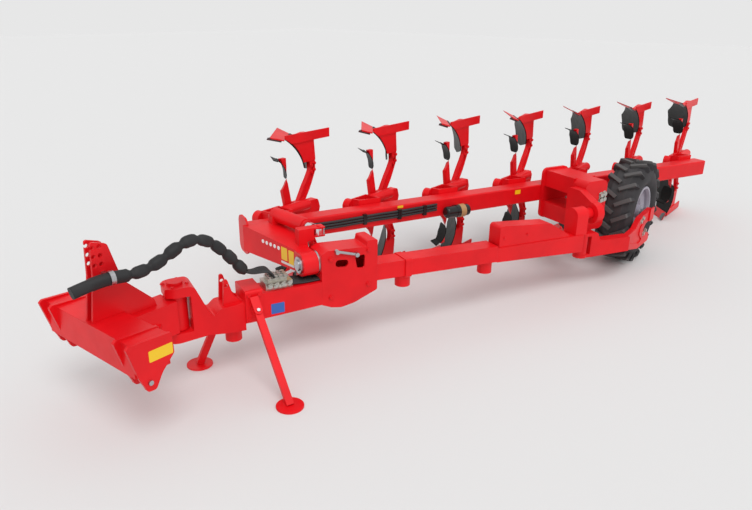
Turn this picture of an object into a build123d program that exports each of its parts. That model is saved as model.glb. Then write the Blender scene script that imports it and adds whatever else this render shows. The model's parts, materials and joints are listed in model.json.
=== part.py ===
"""Semi-mounted reversible moldboard plough with seven pairs of bodies.

Millimetres, +Z up, travel towards +X, +Y to the left of travel.
Two sets of axes are used before the whole machine is moved to its datum.
Travel axes: x forward, y left, z up from the ground.
Beam axes: the same, turned so that x runs forward along the plough beam.
Both start on the ground under the beam, below the first pair of bodies.
Upper bodies are the lower ones mirrored about the height of the turning axis.
"""
import os
from math import atan2, cos, degrees, hypot, pi, radians, sin, sqrt, tan

from build123d import *

os.makedirs("parts", exist_ok=True)

# Driving dimensions of the layout
BEAM_TURN = 23.5            # degrees between the beam and the travel
AXIS_UP = 870.0             # height of the beam's centre and of the turning axis
AXIS_LEFT = 990.0           # from the beam's centre line to the turning axis
BODY_COUNT = 7
BODY_PITCH = 1020.0         # along the beam

# Running and seating gaps
PIN_GAP = 0.05              # radial, shaft in bore
SEAT_GAP = 0.3              # between curved pieces that seat on each other
MOVE_GAP = 6.0              # between faces that move past each other
WASHER_GAP = 1.0            # between an eye and its ears

# Beam
BEAM_SIDE = 200.0
BEAM_WALL = 10.0
BEAM_CORNER = 18.0
BEAM_FRONT = 1200.0
BEAM_REAR = -5500.0
END_PLATE = 20.0
END_PLATE_WIDE = 260.0
END_PLATE_TALL = 370.0
END_PLATE_CORNER = 80.0

# Turning head between the beam and the turning axis
HEAD_AT_BEAM = (1250.0, 700.0)      # front and rear ends where it leaves the beam
HEAD_AT_HUB = (1030.0, 890.0)       # front and rear ends at the turning axis
HEAD_HALF_AT_BEAM = 130.0
HEAD_HALF_AT_HUB = 98.0
HEAD_WALL = 16.0
HUB_RADIUS = 105.0
AXLE_RADIUS = 50.0
AXLE_NOSE = 30.0
AXLE_CAP_RADIUS = 75.0
AXLE_CAP = 16.0

# Pair of turning cylinders on the head, mirrored about the axis height
CYLINDER_OFF = 205.0
CYLINDER_FOOT = (930.0, 130.0)      # beam axes: forward and left
CYLINDER_BARREL = 480.0
CYLINDER_EYE = (752.0, 770.0)
CYLINDER_RADIUS = 68.0
ROD_RADIUS = 45.0
ROD_EYE_RADIUS = 55.0
EYE_PIN_RADIUS = 20.0
EYE_EAR = 14.0
EYE_EAR_HALF = 45.0
EYE_ROOT_X = (876.0, 960.0)
EYE_WEB_OFF = 135.0
ROD_EYE_HALF = 30.0

# Chassis: nose and drawbar
CHASSIS_HALF = 120.0
KING_X = 2094.0
KING_PIN_RADIUS = 35.0
FORK_TOP = (820.0, 900.0)
FORK_BOTTOM = (420.0, 510.0)
FORK_TIP = 96.0
FORK_WEB = (2000.0, 1880.0)
NOSE_REAR = 1570.0
NOSE_TOP = (600.0, 670.0)
NOSE_BOTTOM = (467.0, 420.0)
NOSE_BOSS_RADIUS = 70.0
NOSE_BOSS_LOW = 305.0
FIN_X = 1680.0
FIN_TOP = 885.0
FIN_SPREAD = 65.0
FIN_THICK = 22.0
FIN_HOLE_RADIUS = 16.0
COLLAR_FRONT = 1570.0
COLLAR_REAR = 1420.0
COLLAR_HALF = 140.0
COLLAR_UP = (480.0, 775.0)
DRAWBAR_TOP = 720.0
DRAWBAR_BOTTOM = (490.0, 510.0)
CHASSIS_WALL = 12.0

# Chassis: housing of the turning axle
HOUSING_FRONT = 875.0
HOUSING_REAR = 327.0
HOUSING_TOP = 1000.0
POST_TOP = 1034.0
HOUSING_WALL = 20.0

# Chassis: trolley beam behind the housing
TROLLEY_JOINT = -1070.0
TROLLEY_END = -2250.0
TROLLEY_HALF = 100.0
TROLLEY_FRONT_UP = (625.0, 783.0)
TROLLEY_JOINT_UP = (560.0, 728.0)
TROLLEY_REAR_UP = (470.0, 668.0)
COVER_FRONT = -1090.0
COVER_REAR = -2040.0
COVER_HALF = 88.0
COVER_TOP = (930.0, 867.0)
COVER_BREAK = -1760.0
COVER_SHEET = 8.0

# Chassis: rear bearing and steering tube
STEER_X = -2320.0
STEER_PIN_RADIUS = 32.0
STEER_TUBE_RADIUS = 72.0
STEER_TUBE_UP = (410.0, 618.0)
STEER_EAR = 36.0
BEARING_FRONT = -2130.0
BEARING_REAR = -2290.0
BEARING_RADIUS = 92.0
REAR_PIN_RADIUS = 36.0

# Yoke that hangs the beam on the rear bearing
YOKE_X = (-2500.0, -2830.0)
YOKE_LEFT = (600.0, 800.0)
YOKE_HALF = 288.0
YOKE_ARM_LOW = 92.0
YOKE_SADDLE = 40.0
YOKE_CORNER = 70.0
YOKE_EAR_FRONT = -2402.0
YOKE_BOSS_RADIUS = 118.0

# Wheel and its arm, travel axes
WHEEL_AT = (-3047.0, 1906.0)
TYRE_RADIUS = 628.5
TYRE_WIDE = 394.0
RIM_RADIUS = 305.0
RIM_WIDE = 330.0
LUG_COUNT = 20
LUG_HIGH = 34.0
LUG_THICK = 44.0
LUG_SLANT = 30.0            # degrees between a lug and the axle
WHEEL_AXLE_RADIUS = 40.0
WHEEL_HUB_RADIUS = 92.0
ARM_LEFT = (2122.0, 2184.0)
ARM_HALF = 62.0

# Stands on the drawbar: beam axes, forward, left, up
STAND_FOOT_RADIUS = 112.0
STAND_FOOT_THICK = 14.0
STAND_LEG = 62.0
STAND_PIN_RADIUS = 14.0
STAND_EYE_RADIUS = 36.0
STAND_EAR = 14.0
NEAR_STAND_TOP = (1495.0, 1205.0, 620.0)
NEAR_STAND_FOOT = (1441.0, 1734.0)
FAR_STAND_TOP = (1672.0, 800.0, 540.0)
FAR_STAND_FOOT = (1910.0, 766.0)

# Headstock, travel axes
HITCH_LEFT = 73.0
HITCH_PIN_X = 2973.0
HITCH_PIN_UP = 544.0
HITCH_PIN_RADIUS = 18.3
HITCH_BALLS = 505.0
EAR_OUTER = (562.0, 590.0)
EAR_INNER = (412.0, 440.0)
CROSS_BOX_X = (3066.0, 2786.0)
CROSS_BOX_UP = (600.0, 846.0)
MAST_GAP = 54.0
MAST_PLATE = 20.0
TOP_LINK_RADIUS = 16.05
MAST_HOLES_X = (2962.0, 2912.0)
MAST_HOLES_UP = (1393.0, 1327.0, 1262.0)
NECK_HALF = 108.0
NECK_UP = (525.0, 800.0)
POST_RADIUS = 84.0

# One plough body, travel axes from its station; heights of a lower body
BODY_SIDE = -571.0                  # across, face of the landside
LANDSIDE_X = (-247.0, 418.0)
LANDSIDE_UP = (15.0, 112.0)
LANDSIDE_THICK = 14.0
FROG_SIDE = (-655.0, -586.0)
FROG_WALL = 22.0
LEG_SIDE = (-640.0, -590.0)
LEG_TOP = 770.0
LEG_FOOT = 340.0
SHARE_POINT = (634.0, -571.0)
SHARE_WING = (195.0, -925.5)
SHARE_THICK = 12.0
SHARE_RISE = 60.0
BOARD_RADIUS = 500.0
BOARD_THICK = 10.0
BOARD_AXIS = (-210.0, 430.0)        # behind the share edge, above the ground
POINT_BAR_WIDE = 46.0
POINT_BAR_THICK = 20.0

# Skimmer of one body, travel axes from its station
SKIM_POINT = (588.0, -592.0)
SKIM_WING = (478.6, -750.0)
SKIM_UP = 238.0
SKIM_SIDE = (-628.0, -584.0)
SKIM_SHARE_THICK = 8.0
SKIM_SHARE_RISE = 26.0
SKIM_RADIUS = 210.0
SKIM_THICK = 7.0

# Carrier casting of one station, travel axes
CARRIER_SIDE = (-652.0, -566.0)
CARRIER_HALF = 100.0
CARRIER_EAR_X = 780.0
CARRIER_EAR_RADIUS = 74.0
BRIDGE_X = (560.0, 800.0)
BRIDGE_HALF = 150.0
BRIDGE_WALL = 18.0
TRIP_SIDE = -500.0
TRIP_UP = 100.0
TRIP_RADIUS = 56.0
TRIP_NOSE = 28.0
TRIP_REAR = 170.0

# Fittings
ACCUMULATOR_X = (-1040.0, -1356.0)
ACCUMULATOR_RADIUS = 66.0
ACCUMULATOR_STRAP = 5.0
HOSE = 26.0
HOSE_CLAMPS_X = (-60.0, -480.0, -800.0)
CLAMP_THICK = 34.0
SLEEVE = 92.0
STRAP_WIDE = 34.0
STRAP_THICK = 7.0


def outline(points):
    """Closed face through (u, v) or (u, v, corner radius) points, each radius limited by its sides."""
    places = [Vector(p[0], p[1]) for p in points]
    radii = []
    for i, point in enumerate(points):
        wanted = point[2] if len(point) > 2 else 0
        back, on = places[i - 1] - places[i], places[(i + 1) % len(places)] - places[i]
        room = 0.49 * min(back.length, on.length) * tan(radians(back.get_angle(on) / 2))
        radii.append(min(wanted, room))
    return make_face(FilletPolyline(*places, radius=radii, close=True))


def upright(face, across):
    """Solid whose outline is drawn in (forward, up) and which spans across."""
    plane = Plane((0, across[0], 0), x_dir=(1, 0, 0), z_dir=(0, -1, 0))
    return extrude(plane * face, amount=across[1] - across[0], dir=(0, 1, 0))


def flat(face, up):
    """Solid whose outline is drawn in (forward, left), between two heights."""
    return extrude(Pos(0, 0, up[0]) * face, amount=up[1] - up[0], dir=(0, 0, 1))


def facing(face, along):
    """Solid whose outline is drawn in (left, up), from along[1] forward to along[0]."""
    plane = Plane((along[1], 0, 0), x_dir=(0, 1, 0), z_dir=(1, 0, 0))
    return extrude(plane * face, amount=along[0] - along[1], dir=(1, 0, 0))


def block(along, across, up):
    """Box between pairs of limits."""
    pairs = (along, across, up)
    sizes = [abs(pair[1] - pair[0]) for pair in pairs]
    middle = [(pair[0] + pair[1]) / 2 for pair in pairs]
    return Pos(*middle) * Box(*sizes)


def rod(start, end, radius):
    """Round bar between two points."""
    run = Vector(*end) - Vector(*start)
    plane = Plane(origin=start, z_dir=run)
    return plane * Cylinder(radius, run.length, align=(Align.CENTER, Align.CENTER, Align.MIN))


def strip(points):
    """Outline of a bar that follows (u, v, width, corner radius) points."""
    left, right = [], []
    rise = 1 if points[0][1] < points[-1][1] else -1
    for i, (u, v, wide, corner) in enumerate(points):
        before, after = points[max(i - 1, 0)], points[min(i + 1, len(points) - 1)]
        du, dv = after[0] - before[0], after[1] - before[1]
        size = hypot(du, dv)
        half = wide / 2 / size
        if i in (0, len(points) - 1):
            left.append((u - rise * wide / 2, v, 0))
            right.append((u + rise * wide / 2, v, 0))
        else:
            left.append((u - dv * half, v + du * half, corner))
            right.append((u + dv * half, v - du * half, corner))
    return outline(left + right[::-1])


def mirrored(shape):
    """The same piece on the other side of the turning axis' height."""
    return mirror(shape, about=Plane.XY.offset(AXIS_UP))


def group(*shapes):
    """Compound of solids that don't touch."""
    solids = [solid for shape in shapes for solid in shape.solids()]
    return Compound(children=solids)


def turned(shape):
    """Piece from beam axes into travel axes."""
    return Rot(0, 0, -BEAM_TURN) * shape


def beam_to_travel(x, y):
    """Point from beam axes into travel axes."""
    turn = radians(BEAM_TURN)
    return x * cos(turn) + y * sin(turn), -x * sin(turn) + y * cos(turn)


def travel_to_beam(x, y):
    """Point from travel axes into beam axes."""
    turn = radians(BEAM_TURN)
    return x * cos(turn) - y * sin(turn), x * sin(turn) + y * cos(turn)


AXIS_PLANE_FACE = Pos(AXIS_LEFT, AXIS_UP)
PIECES = {}


def keep(node, shape):
    """Put one finished node on the list."""
    PIECES[node] = shape


def make_beam():
    """Hollow beam and the plates that close its two ends."""
    skin = RectangleRounded(BEAM_SIDE, BEAM_SIDE, BEAM_CORNER)
    inner = BEAM_SIDE - 2 * BEAM_WALL
    hole = RectangleRounded(inner, inner, BEAM_CORNER - BEAM_WALL)
    section = Pos(0, AXIS_UP) * (skin - hole)
    keep("frame_beam", turned(facing(section, (BEAM_FRONT, BEAM_REAR))))
    plate = Pos(0, AXIS_UP) * RectangleRounded(END_PLATE_WIDE, END_PLATE_TALL, END_PLATE_CORNER)
    rear = Pos(0, AXIS_UP) * RectangleRounded(BEAM_SIDE, BEAM_SIDE, BEAM_CORNER)
    front_plate = facing(plate, (BEAM_FRONT + END_PLATE, BEAM_FRONT))
    rear_plate = facing(rear, (BEAM_REAR, BEAM_REAR - END_PLATE))
    keep("beam_end_plates", turned(group(front_plate, rear_plate)))


def head_shell(inset):
    """Tapered box from the beam to the hub, smaller by the inset all round."""
    near = AXIS_LEFT - HUB_RADIUS - 2 * MOVE_GAP
    beam_face = BEAM_SIDE / 2
    ends = (
        (beam_face, HEAD_AT_BEAM, HEAD_HALF_AT_BEAM),
        (near, HEAD_AT_HUB, HEAD_HALF_AT_HUB),
    )
    sections = []
    for left, (front, rear), half in ends:
        plane = Plane(((front + rear) / 2, left, AXIS_UP), x_dir=(1, 0, 0), z_dir=(0, 1, 0))
        wide, tall = front - rear - 2 * inset, 2 * (half - inset)
        sections.append(plane * Rectangle(wide, tall))
    return loft(sections)


def make_head():
    """Turning head: hollow arm, hub on the axle, and a lug for each rod eye."""
    arm = head_shell(0) - head_shell(HEAD_WALL)
    near = AXIS_LEFT - HUB_RADIUS - 2 * MOVE_GAP
    half_up = (AXIS_UP - HEAD_HALF_AT_HUB, AXIS_UP + HEAD_HALF_AT_HUB)
    arm += block(HEAD_AT_HUB, (near, AXIS_LEFT), half_up)
    hub_ring = AXIS_PLANE_FACE * Circle(HUB_RADIUS)
    hub = facing(hub_ring, HEAD_AT_HUB)
    bore = facing(AXIS_PLANE_FACE * Circle(AXLE_RADIUS + PIN_GAP), HEAD_AT_HUB)
    clear = facing(AXIS_PLANE_FACE * Circle(HUB_RADIUS - 1), HEAD_AT_HUB)
    head = arm - clear + hub - bore
    eye_x, eye_y = CYLINDER_EYE
    across = (eye_y - EYE_EAR_HALF, eye_y + EYE_EAR_HALF)
    inner = ROD_EYE_HALF + WASHER_GAP
    for side in (1, -1):
        root = block(EYE_ROOT_X, across, (AXIS_UP + side * 80, AXIS_UP + side * CYLINDER_OFF))
        web_x = (eye_x + ROD_EYE_RADIUS + MOVE_GAP, EYE_ROOT_X[1])
        outer = CYLINDER_OFF + inner + EYE_EAR
        root += block(web_x, across, (AXIS_UP + side * EYE_WEB_OFF, AXIS_UP + side * outer))
        for off in (CYLINDER_OFF - inner - EYE_EAR, CYLINDER_OFF + inner):
            plate = (AXIS_UP + side * off, AXIS_UP + side * (off + EYE_EAR))
            root += block((eye_x - EYE_EAR_HALF, web_x[1]), across, plate)
        pin_long = 2 * (inner + EYE_EAR + 6)
        head += root + Pos(eye_x, eye_y, AXIS_UP + side * CYLINDER_OFF) * Cylinder(EYE_PIN_RADIUS, pin_long)
        foot, mouth, _ = cylinder_line(side)
        up = AXIS_UP + side * CYLINDER_OFF
        saddle = block(
            (foot.X - 60, foot.X + 60), (BEAM_SIDE / 2 + SEAT_GAP, foot.Y + 90),
            (AXIS_UP + side * (HEAD_HALF_AT_BEAM - 25), up))
        head += saddle - rod(foot, mouth, CYLINDER_RADIUS + SEAT_GAP)
    plate_room = END_PLATE_WIDE / 2 + MOVE_GAP
    head -= block(
        (BEAM_FRONT - SEAT_GAP, BEAM_FRONT + END_PLATE + SEAT_GAP), (-plate_room, plate_room),
        (AXIS_UP - END_PLATE_TALL, AXIS_UP + END_PLATE_TALL))
    keep("turn_head", turned(head))


def cylinder_line(side):
    """Foot, mouth and rod eye of the turning cylinder above or below the axis."""
    up = AXIS_UP + side * CYLINDER_OFF
    foot, eye = Vector(*CYLINDER_FOOT, up), Vector(*CYLINDER_EYE, up)
    return foot, foot + (eye - foot).normalized() * CYLINDER_BARREL, eye


def make_cylinders():
    """Barrels and rods of the two turning cylinders."""
    barrels, rods = [], []
    for side in (1, -1):
        foot, mouth, eye = cylinder_line(side)
        run = (eye - foot).normalized()
        gland = mouth + run * 24
        barrels.append(rod(foot + run, mouth, CYLINDER_RADIUS) + rod(mouth, gland, CYLINDER_RADIUS * 0.86))
        neck = eye - run * (ROD_EYE_RADIUS + 20)
        tongue = Plane(eye, x_dir=run, z_dir=(0, 0, 1)) * (
            Pos(-ROD_EYE_RADIUS, 0, 0) * Box(2 * ROD_EYE_RADIUS, 1.5 * ROD_EYE_RADIUS, 2 * ROD_EYE_HALF))
        end = Pos(eye) * Cylinder(ROD_EYE_RADIUS, 2 * ROD_EYE_HALF) + tongue
        end -= Pos(eye) * Cylinder(EYE_PIN_RADIUS + PIN_GAP, 4 * ROD_EYE_HALF)
        rods.append(rod(gland, neck, ROD_RADIUS) + end)
    keep("head_cylinders", turned(group(*barrels)))
    keep("cylinder_rods", turned(group(*rods)))


def make_nose():
    """Fork for the king pin, sloping box behind it and the two fins."""
    tip = KING_X + FORK_TIP
    web_front, web_rear = FORK_WEB
    side_face = outline([
        (tip, FORK_BOTTOM[0], 30), (tip, FORK_BOTTOM[1]), (web_front, FORK_BOTTOM[1], 8),
        (web_front, FORK_TOP[0], 8), (tip, FORK_TOP[0]), (tip, FORK_TOP[1], 25),
        (web_front - 30, FORK_TOP[1], 60), (web_rear - 20, NOSE_TOP[0] + 40, 50),
        (web_rear - 45, NOSE_TOP[0], 30), (FIN_X + 90, NOSE_TOP[1] - 12, 40),
        (NOSE_REAR, NOSE_TOP[1]), (NOSE_REAR, NOSE_BOTTOM[1]), (FIN_X, NOSE_BOTTOM[1], 30),
        (web_rear, NOSE_BOTTOM[0] - 20, 40),
    ])
    across = (AXIS_LEFT - CHASSIS_HALF, AXIS_LEFT + CHASSIS_HALF)
    nose = upright(side_face, across)
    round_tip = flat(
        Pos(KING_X, AXIS_LEFT) * Circle(CHASSIS_HALF)
        + Pos((KING_X + NOSE_REAR) / 2, AXIS_LEFT) * Rectangle(KING_X - NOSE_REAR, 2 * CHASSIS_HALF),
        (0, 2 * AXIS_UP),
    )
    nose = nose & round_tip
    nose -= Pos(KING_X, AXIS_LEFT, AXIS_UP) * Cylinder(KING_PIN_RADIUS, 2 * AXIS_UP)
    boss_up = (NOSE_BOSS_LOW, NOSE_BOTTOM[1] + 40)
    nose += flat(Pos(NOSE_REAR + 80, AXIS_LEFT) * Circle(NOSE_BOSS_RADIUS), boss_up)
    fin_face = outline([
        (FIN_X + 60, NOSE_TOP[1] - 30), (FIN_X + 42, FIN_TOP, 18), (FIN_X + 12, FIN_TOP, 14),
        (FIN_X - 30, 740, 120), (NOSE_REAR + 8, NOSE_TOP[1] - 4), (NOSE_REAR + 8, NOSE_TOP[1] - 30),
    ])
    fin_hole = Pos(FIN_X + 24, FIN_TOP - 55) * Circle(FIN_HOLE_RADIUS)
    for side in (1, -1):
        middle = AXIS_LEFT + side * FIN_SPREAD
        nose += upright(fin_face - fin_hole, (middle - FIN_THICK / 2, middle + FIN_THICK / 2))
    keep("drawbar_nose", turned(nose))
    pin = Pos(KING_X, AXIS_LEFT, (FORK_BOTTOM[0] + FORK_TOP[1]) / 2) * Cylinder(
        KING_PIN_RADIUS, FORK_TOP[1] - FORK_BOTTOM[0])
    cap = Pos(KING_X, AXIS_LEFT, FORK_TOP[1] + 12) * Cylinder(62, 24)
    keep("king_pin", turned(pin + cap))


def make_drawbar():
    """Collar and hollow bar between the nose and the axle housing."""
    across = (AXIS_LEFT - CHASSIS_HALF, AXIS_LEFT + CHASSIS_HALF)
    inside = (across[0] + CHASSIS_WALL, across[1] - CHASSIS_WALL)
    collar = block((COLLAR_FRONT, COLLAR_REAR), (AXIS_LEFT - COLLAR_HALF, AXIS_LEFT + COLLAR_HALF), COLLAR_UP)
    collar = fillet(collar.edges().filter_by(Axis.X), 24)
    front_low, rear_low = DRAWBAR_BOTTOM
    face = outline([
        (COLLAR_REAR, front_low), (COLLAR_REAR, DRAWBAR_TOP), (HOUSING_FRONT, DRAWBAR_TOP),
        (HOUSING_FRONT, rear_low - 5), (HOUSING_FRONT + 230, rear_low - 12, 300),
    ])
    bar = upright(face, across) - upright(offset(face, -CHASSIS_WALL, kind=Kind.INTERSECTION), inside)
    keep("drawbar", turned(collar + bar))


def make_housing():
    """Walls round the turning axle, with two windows, and the post behind it."""
    across = (AXIS_LEFT - CHASSIS_HALF, AXIS_LEFT + CHASSIS_HALF)
    inside = (across[0] + HOUSING_WALL, across[1] - HOUSING_WALL)
    face = outline([
        (HOUSING_FRONT, 500), (HOUSING_FRONT - 90, 460, 80), (HOUSING_FRONT - 185, 442, 90),
        (HOUSING_FRONT - 315, 462, 120), (HOUSING_REAR, 548, 18), (HOUSING_REAR, POST_TOP, 16),
        (HOUSING_REAR + 100, POST_TOP, 16), (HOUSING_REAR + 112, HOUSING_TOP - 20, 12),
        (HOUSING_FRONT - 60, HOUSING_TOP, 80), (HOUSING_FRONT, HOUSING_TOP - 30, 20),
    ])
    core = offset(face, -HOUSING_WALL, kind=Kind.INTERSECTION)
    housing = upright(face, across) - upright(core, inside)
    oval = Pos(HOUSING_FRONT - 195, 862) * Rot(0, 0, 8) * SlotOverall(125, 68)
    gap = outline([
        (HOUSING_REAR + 225, 905, 18), (HOUSING_REAR + 125, 912, 18),
        (HOUSING_REAR + 132, 785, 18), (HOUSING_REAR + 205, 792, 24),
    ])
    for window in (oval, gap):
        housing -= upright(window, (across[0] - 1, across[1] + 1))
    keep("turn_housing", turned(housing))
    front = HEAD_AT_HUB[0] + WASHER_GAP
    axle = facing(AXIS_PLANE_FACE * Circle(AXLE_RADIUS), (front + AXLE_NOSE, HOUSING_FRONT))
    washer = facing(
        AXIS_PLANE_FACE * Circle(HUB_RADIUS), (HEAD_AT_HUB[1] - WASHER_GAP, HOUSING_FRONT))
    cap = facing(AXIS_PLANE_FACE * Circle(AXLE_CAP_RADIUS), (front + AXLE_CAP, front))
    keep("turn_axle", turned(axle + washer + cap))
    link_side = AXIS_LEFT + CHASSIS_HALF + 14
    link = rod((735, link_side, 985), (545, link_side, 930), 13)
    for x, up in ((735, 985), (545, 930)):
        link += rod((x, AXIS_LEFT + CHASSIS_HALF, up), (x, link_side + 22, up), 20)
    keep("housing_link", turned(link))


def trolley_face(inset):
    """Side outline of the two-part trolley beam, smaller by the inset."""
    return outline([
        (HOUSING_REAR, TROLLEY_FRONT_UP[0] + inset), (HOUSING_REAR, TROLLEY_FRONT_UP[1] - inset),
        (TROLLEY_JOINT, TROLLEY_JOINT_UP[1] - inset), (TROLLEY_JOINT, TROLLEY_JOINT_UP[0] + inset),
    ])


def trolley_top(x):
    """Height of the rear trolley beam's upper face."""
    share = (x - TROLLEY_JOINT) / (TROLLEY_END - TROLLEY_JOINT)
    front_up = TROLLEY_JOINT_UP[1] - 22
    return front_up + share * (TROLLEY_REAR_UP[1] - front_up)


def make_trolley():
    """Trolley beam in two lengths, its collars, and the steering tube at its end."""
    across = (AXIS_LEFT - TROLLEY_HALF, AXIS_LEFT + TROLLEY_HALF)
    inside = (across[0] + CHASSIS_WALL, across[1] - CHASSIS_WALL)
    front = upright(trolley_face(0), across) - upright(trolley_face(CHASSIS_WALL), inside)
    for x, low in ((-13.0, 485.0), (-990.0, 437.0)):
        front += flat(Pos(x, AXIS_LEFT) * Circle(74), (low, low + 175))
    lip_up = (TROLLEY_FRONT_UP[0] - 30, TROLLEY_FRONT_UP[1] - 4)
    lip = block((20, -46), (across[0] - 16, across[1] + 16), lip_up)
    front += fillet(lip.edges().filter_by(Axis.X), 20)
    keep("trolley_beam", turned(front))
    low = TROLLEY_JOINT_UP[0] - 6

    def rear_face(inset):
        return outline([
            (TROLLEY_JOINT, low + inset), (TROLLEY_JOINT, trolley_top(TROLLEY_JOINT) - inset),
            (TROLLEY_END, trolley_top(TROLLEY_END) - inset), (TROLLEY_END, TROLLEY_REAR_UP[0] + inset),
        ])

    rear = upright(rear_face(0), across) - upright(rear_face(CHASSIS_WALL), inside)
    tube = flat(Pos(STEER_X, AXIS_LEFT) * Circle(STEER_TUBE_RADIUS), STEER_TUBE_UP)
    bridge = block((TROLLEY_END, STEER_X), (AXIS_LEFT - 60, AXIS_LEFT + 60), (480, STEER_TUBE_UP[1]))
    bore = Pos(STEER_X, AXIS_LEFT, AXIS_UP) * Cylinder(STEER_PIN_RADIUS + PIN_GAP, 2 * AXIS_UP)
    keep("trolley_rear_beam", turned(rear + tube + bridge - bore))


def make_bearing():
    """Bracket on the trolley's end with the pin that the yoke turns on."""
    base = trolley_top(BEARING_REAR) - 30
    pier = AXIS_PLANE_FACE * Circle(BEARING_RADIUS)
    pier += Pos(AXIS_LEFT, (base + AXIS_UP) / 2) * Rectangle(2 * BEARING_RADIUS, AXIS_UP - base)
    bracket = facing(pier, (BEARING_FRONT, BEARING_REAR))
    bracket -= upright(
        outline([
            (0, 0), (TROLLEY_JOINT, trolley_top(TROLLEY_JOINT)), (TROLLEY_END, trolley_top(TROLLEY_END)),
            (TROLLEY_END, STEER_TUBE_UP[1] + STEER_EAR + MOVE_GAP),
            (TROLLEY_END - 200, STEER_TUBE_UP[1] + STEER_EAR + MOVE_GAP), (TROLLEY_END - 200, 0),
        ]),
        (AXIS_LEFT - 2 * BEARING_RADIUS, AXIS_LEFT + 2 * BEARING_RADIUS),
    )
    pin = facing(AXIS_PLANE_FACE * Circle(REAR_PIN_RADIUS), (BEARING_REAR, YOKE_X[0] + 2))
    collar = facing(
        AXIS_PLANE_FACE * Circle(REAR_PIN_RADIUS + 24), (BEARING_REAR, YOKE_EAR_FRONT + MOVE_GAP))
    keep("rear_bearing", turned(bracket + pin + collar))


def make_cover():
    """Sheet cover over the cylinder on the trolley beam, open below."""
    def face(inset):
        return outline([
            (COVER_FRONT - inset, trolley_top(COVER_FRONT)),
            (COVER_FRONT - inset, COVER_TOP[0] - inset, 40),
            (COVER_BREAK, COVER_TOP[1] - inset, 60),
            (COVER_REAR + inset, trolley_top(COVER_REAR) + 20 - inset / 2, 10),
            (COVER_REAR + inset, trolley_top(COVER_REAR)),
        ])
    outer = upright(face(0), (AXIS_LEFT - COVER_HALF, AXIS_LEFT + COVER_HALF))
    half = COVER_HALF - COVER_SHEET
    inner = upright(face(COVER_SHEET), (AXIS_LEFT - half, AXIS_LEFT + half))
    keep("cylinder_cover", turned(outer - inner))


def make_hydraulics():
    """Valve block on the drawbar with a row of screwed fittings."""
    up = DRAWBAR_TOP
    valve = block((1370, 1130), (AXIS_LEFT - 80, AXIS_LEFT + 80), (up, up + 62))
    valve += block((1340, 1170), (AXIS_LEFT - 55, AXIS_LEFT + 55), (up + 62, up + 96))
    for x in (1205, 1250, 1295):
        for side in (-1, 1):
            valve += rod((x, AXIS_LEFT, up + 34), (x, AXIS_LEFT + side * 104, up + 34), 13)
    keep("hydraulic_block", turned(valve))
    place = Pos(BEAM_SIDE / 2 + ACCUMULATOR_RADIUS + ACCUMULATOR_STRAP, AXIS_UP - 40)
    accumulator = facing(place * Circle(ACCUMULATOR_RADIUS), ACCUMULATOR_X)
    accumulator = fillet(accumulator.edges(), 30)
    strap_x = sum(ACCUMULATOR_X) / 2
    strap = facing(place * Circle(ACCUMULATOR_RADIUS + ACCUMULATOR_STRAP), (strap_x + 24, strap_x - 24))
    strap += block((strap_x + 24, strap_x - 24), (BEAM_SIDE / 2, BEAM_SIDE / 2 + 40),
                   (AXIS_UP - 90, AXIS_UP + 10))
    keep("accumulator", turned(accumulator + strap))


def make_yoke():
    """Saddle on the beam, two arms, tall box and the ear on the rear pin."""
    face_left = BEAM_SIDE / 2
    front, rear = YOKE_X
    middle = (front + rear) / 2
    saddle_face = Pos(middle, AXIS_UP) * RectangleRounded(
        front - rear + 60, 2 * YOKE_HALF + 40, YOKE_CORNER)
    arms = upright(saddle_face, (face_left, face_left + YOKE_SADDLE))
    across = (face_left + YOKE_SADDLE, YOKE_LEFT[0])
    for side in (1, -1):
        low, high = AXIS_UP + side * YOKE_ARM_LOW, AXIS_UP + side * YOKE_HALF
        arm = block((front, rear), across, (min(low, high), max(low, high)))
        arm -= block((front - 14, rear + 14), across, (min(low, high) + 14, max(low, high) - 14))
        arms += arm
    keep("yoke_arms", turned(arms))
    box_face = Pos(middle, AXIS_UP) * RectangleRounded(front - rear, 2 * YOKE_HALF, YOKE_CORNER)
    box = upright(box_face, YOKE_LEFT)
    ear_face = AXIS_PLANE_FACE * Circle(YOKE_BOSS_RADIUS)
    root = YOKE_HALF * 0.72
    ear_face += outline([
        (YOKE_LEFT[0] + 20, AXIS_UP - root, 30), (YOKE_LEFT[1], AXIS_UP - root, 60),
        (AXIS_LEFT, AXIS_UP - YOKE_BOSS_RADIUS), (AXIS_LEFT, AXIS_UP + YOKE_BOSS_RADIUS),
        (YOKE_LEFT[1], AXIS_UP + root, 60), (YOKE_LEFT[0] + 20, AXIS_UP + root, 30),
    ])
    ear = facing(ear_face, (YOKE_EAR_FRONT, front))
    bore = facing(AXIS_PLANE_FACE * Circle(REAR_PIN_RADIUS + PIN_GAP), (YOKE_EAR_FRONT, front))
    keep("yoke_box", turned(box + ear - bore))


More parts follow.
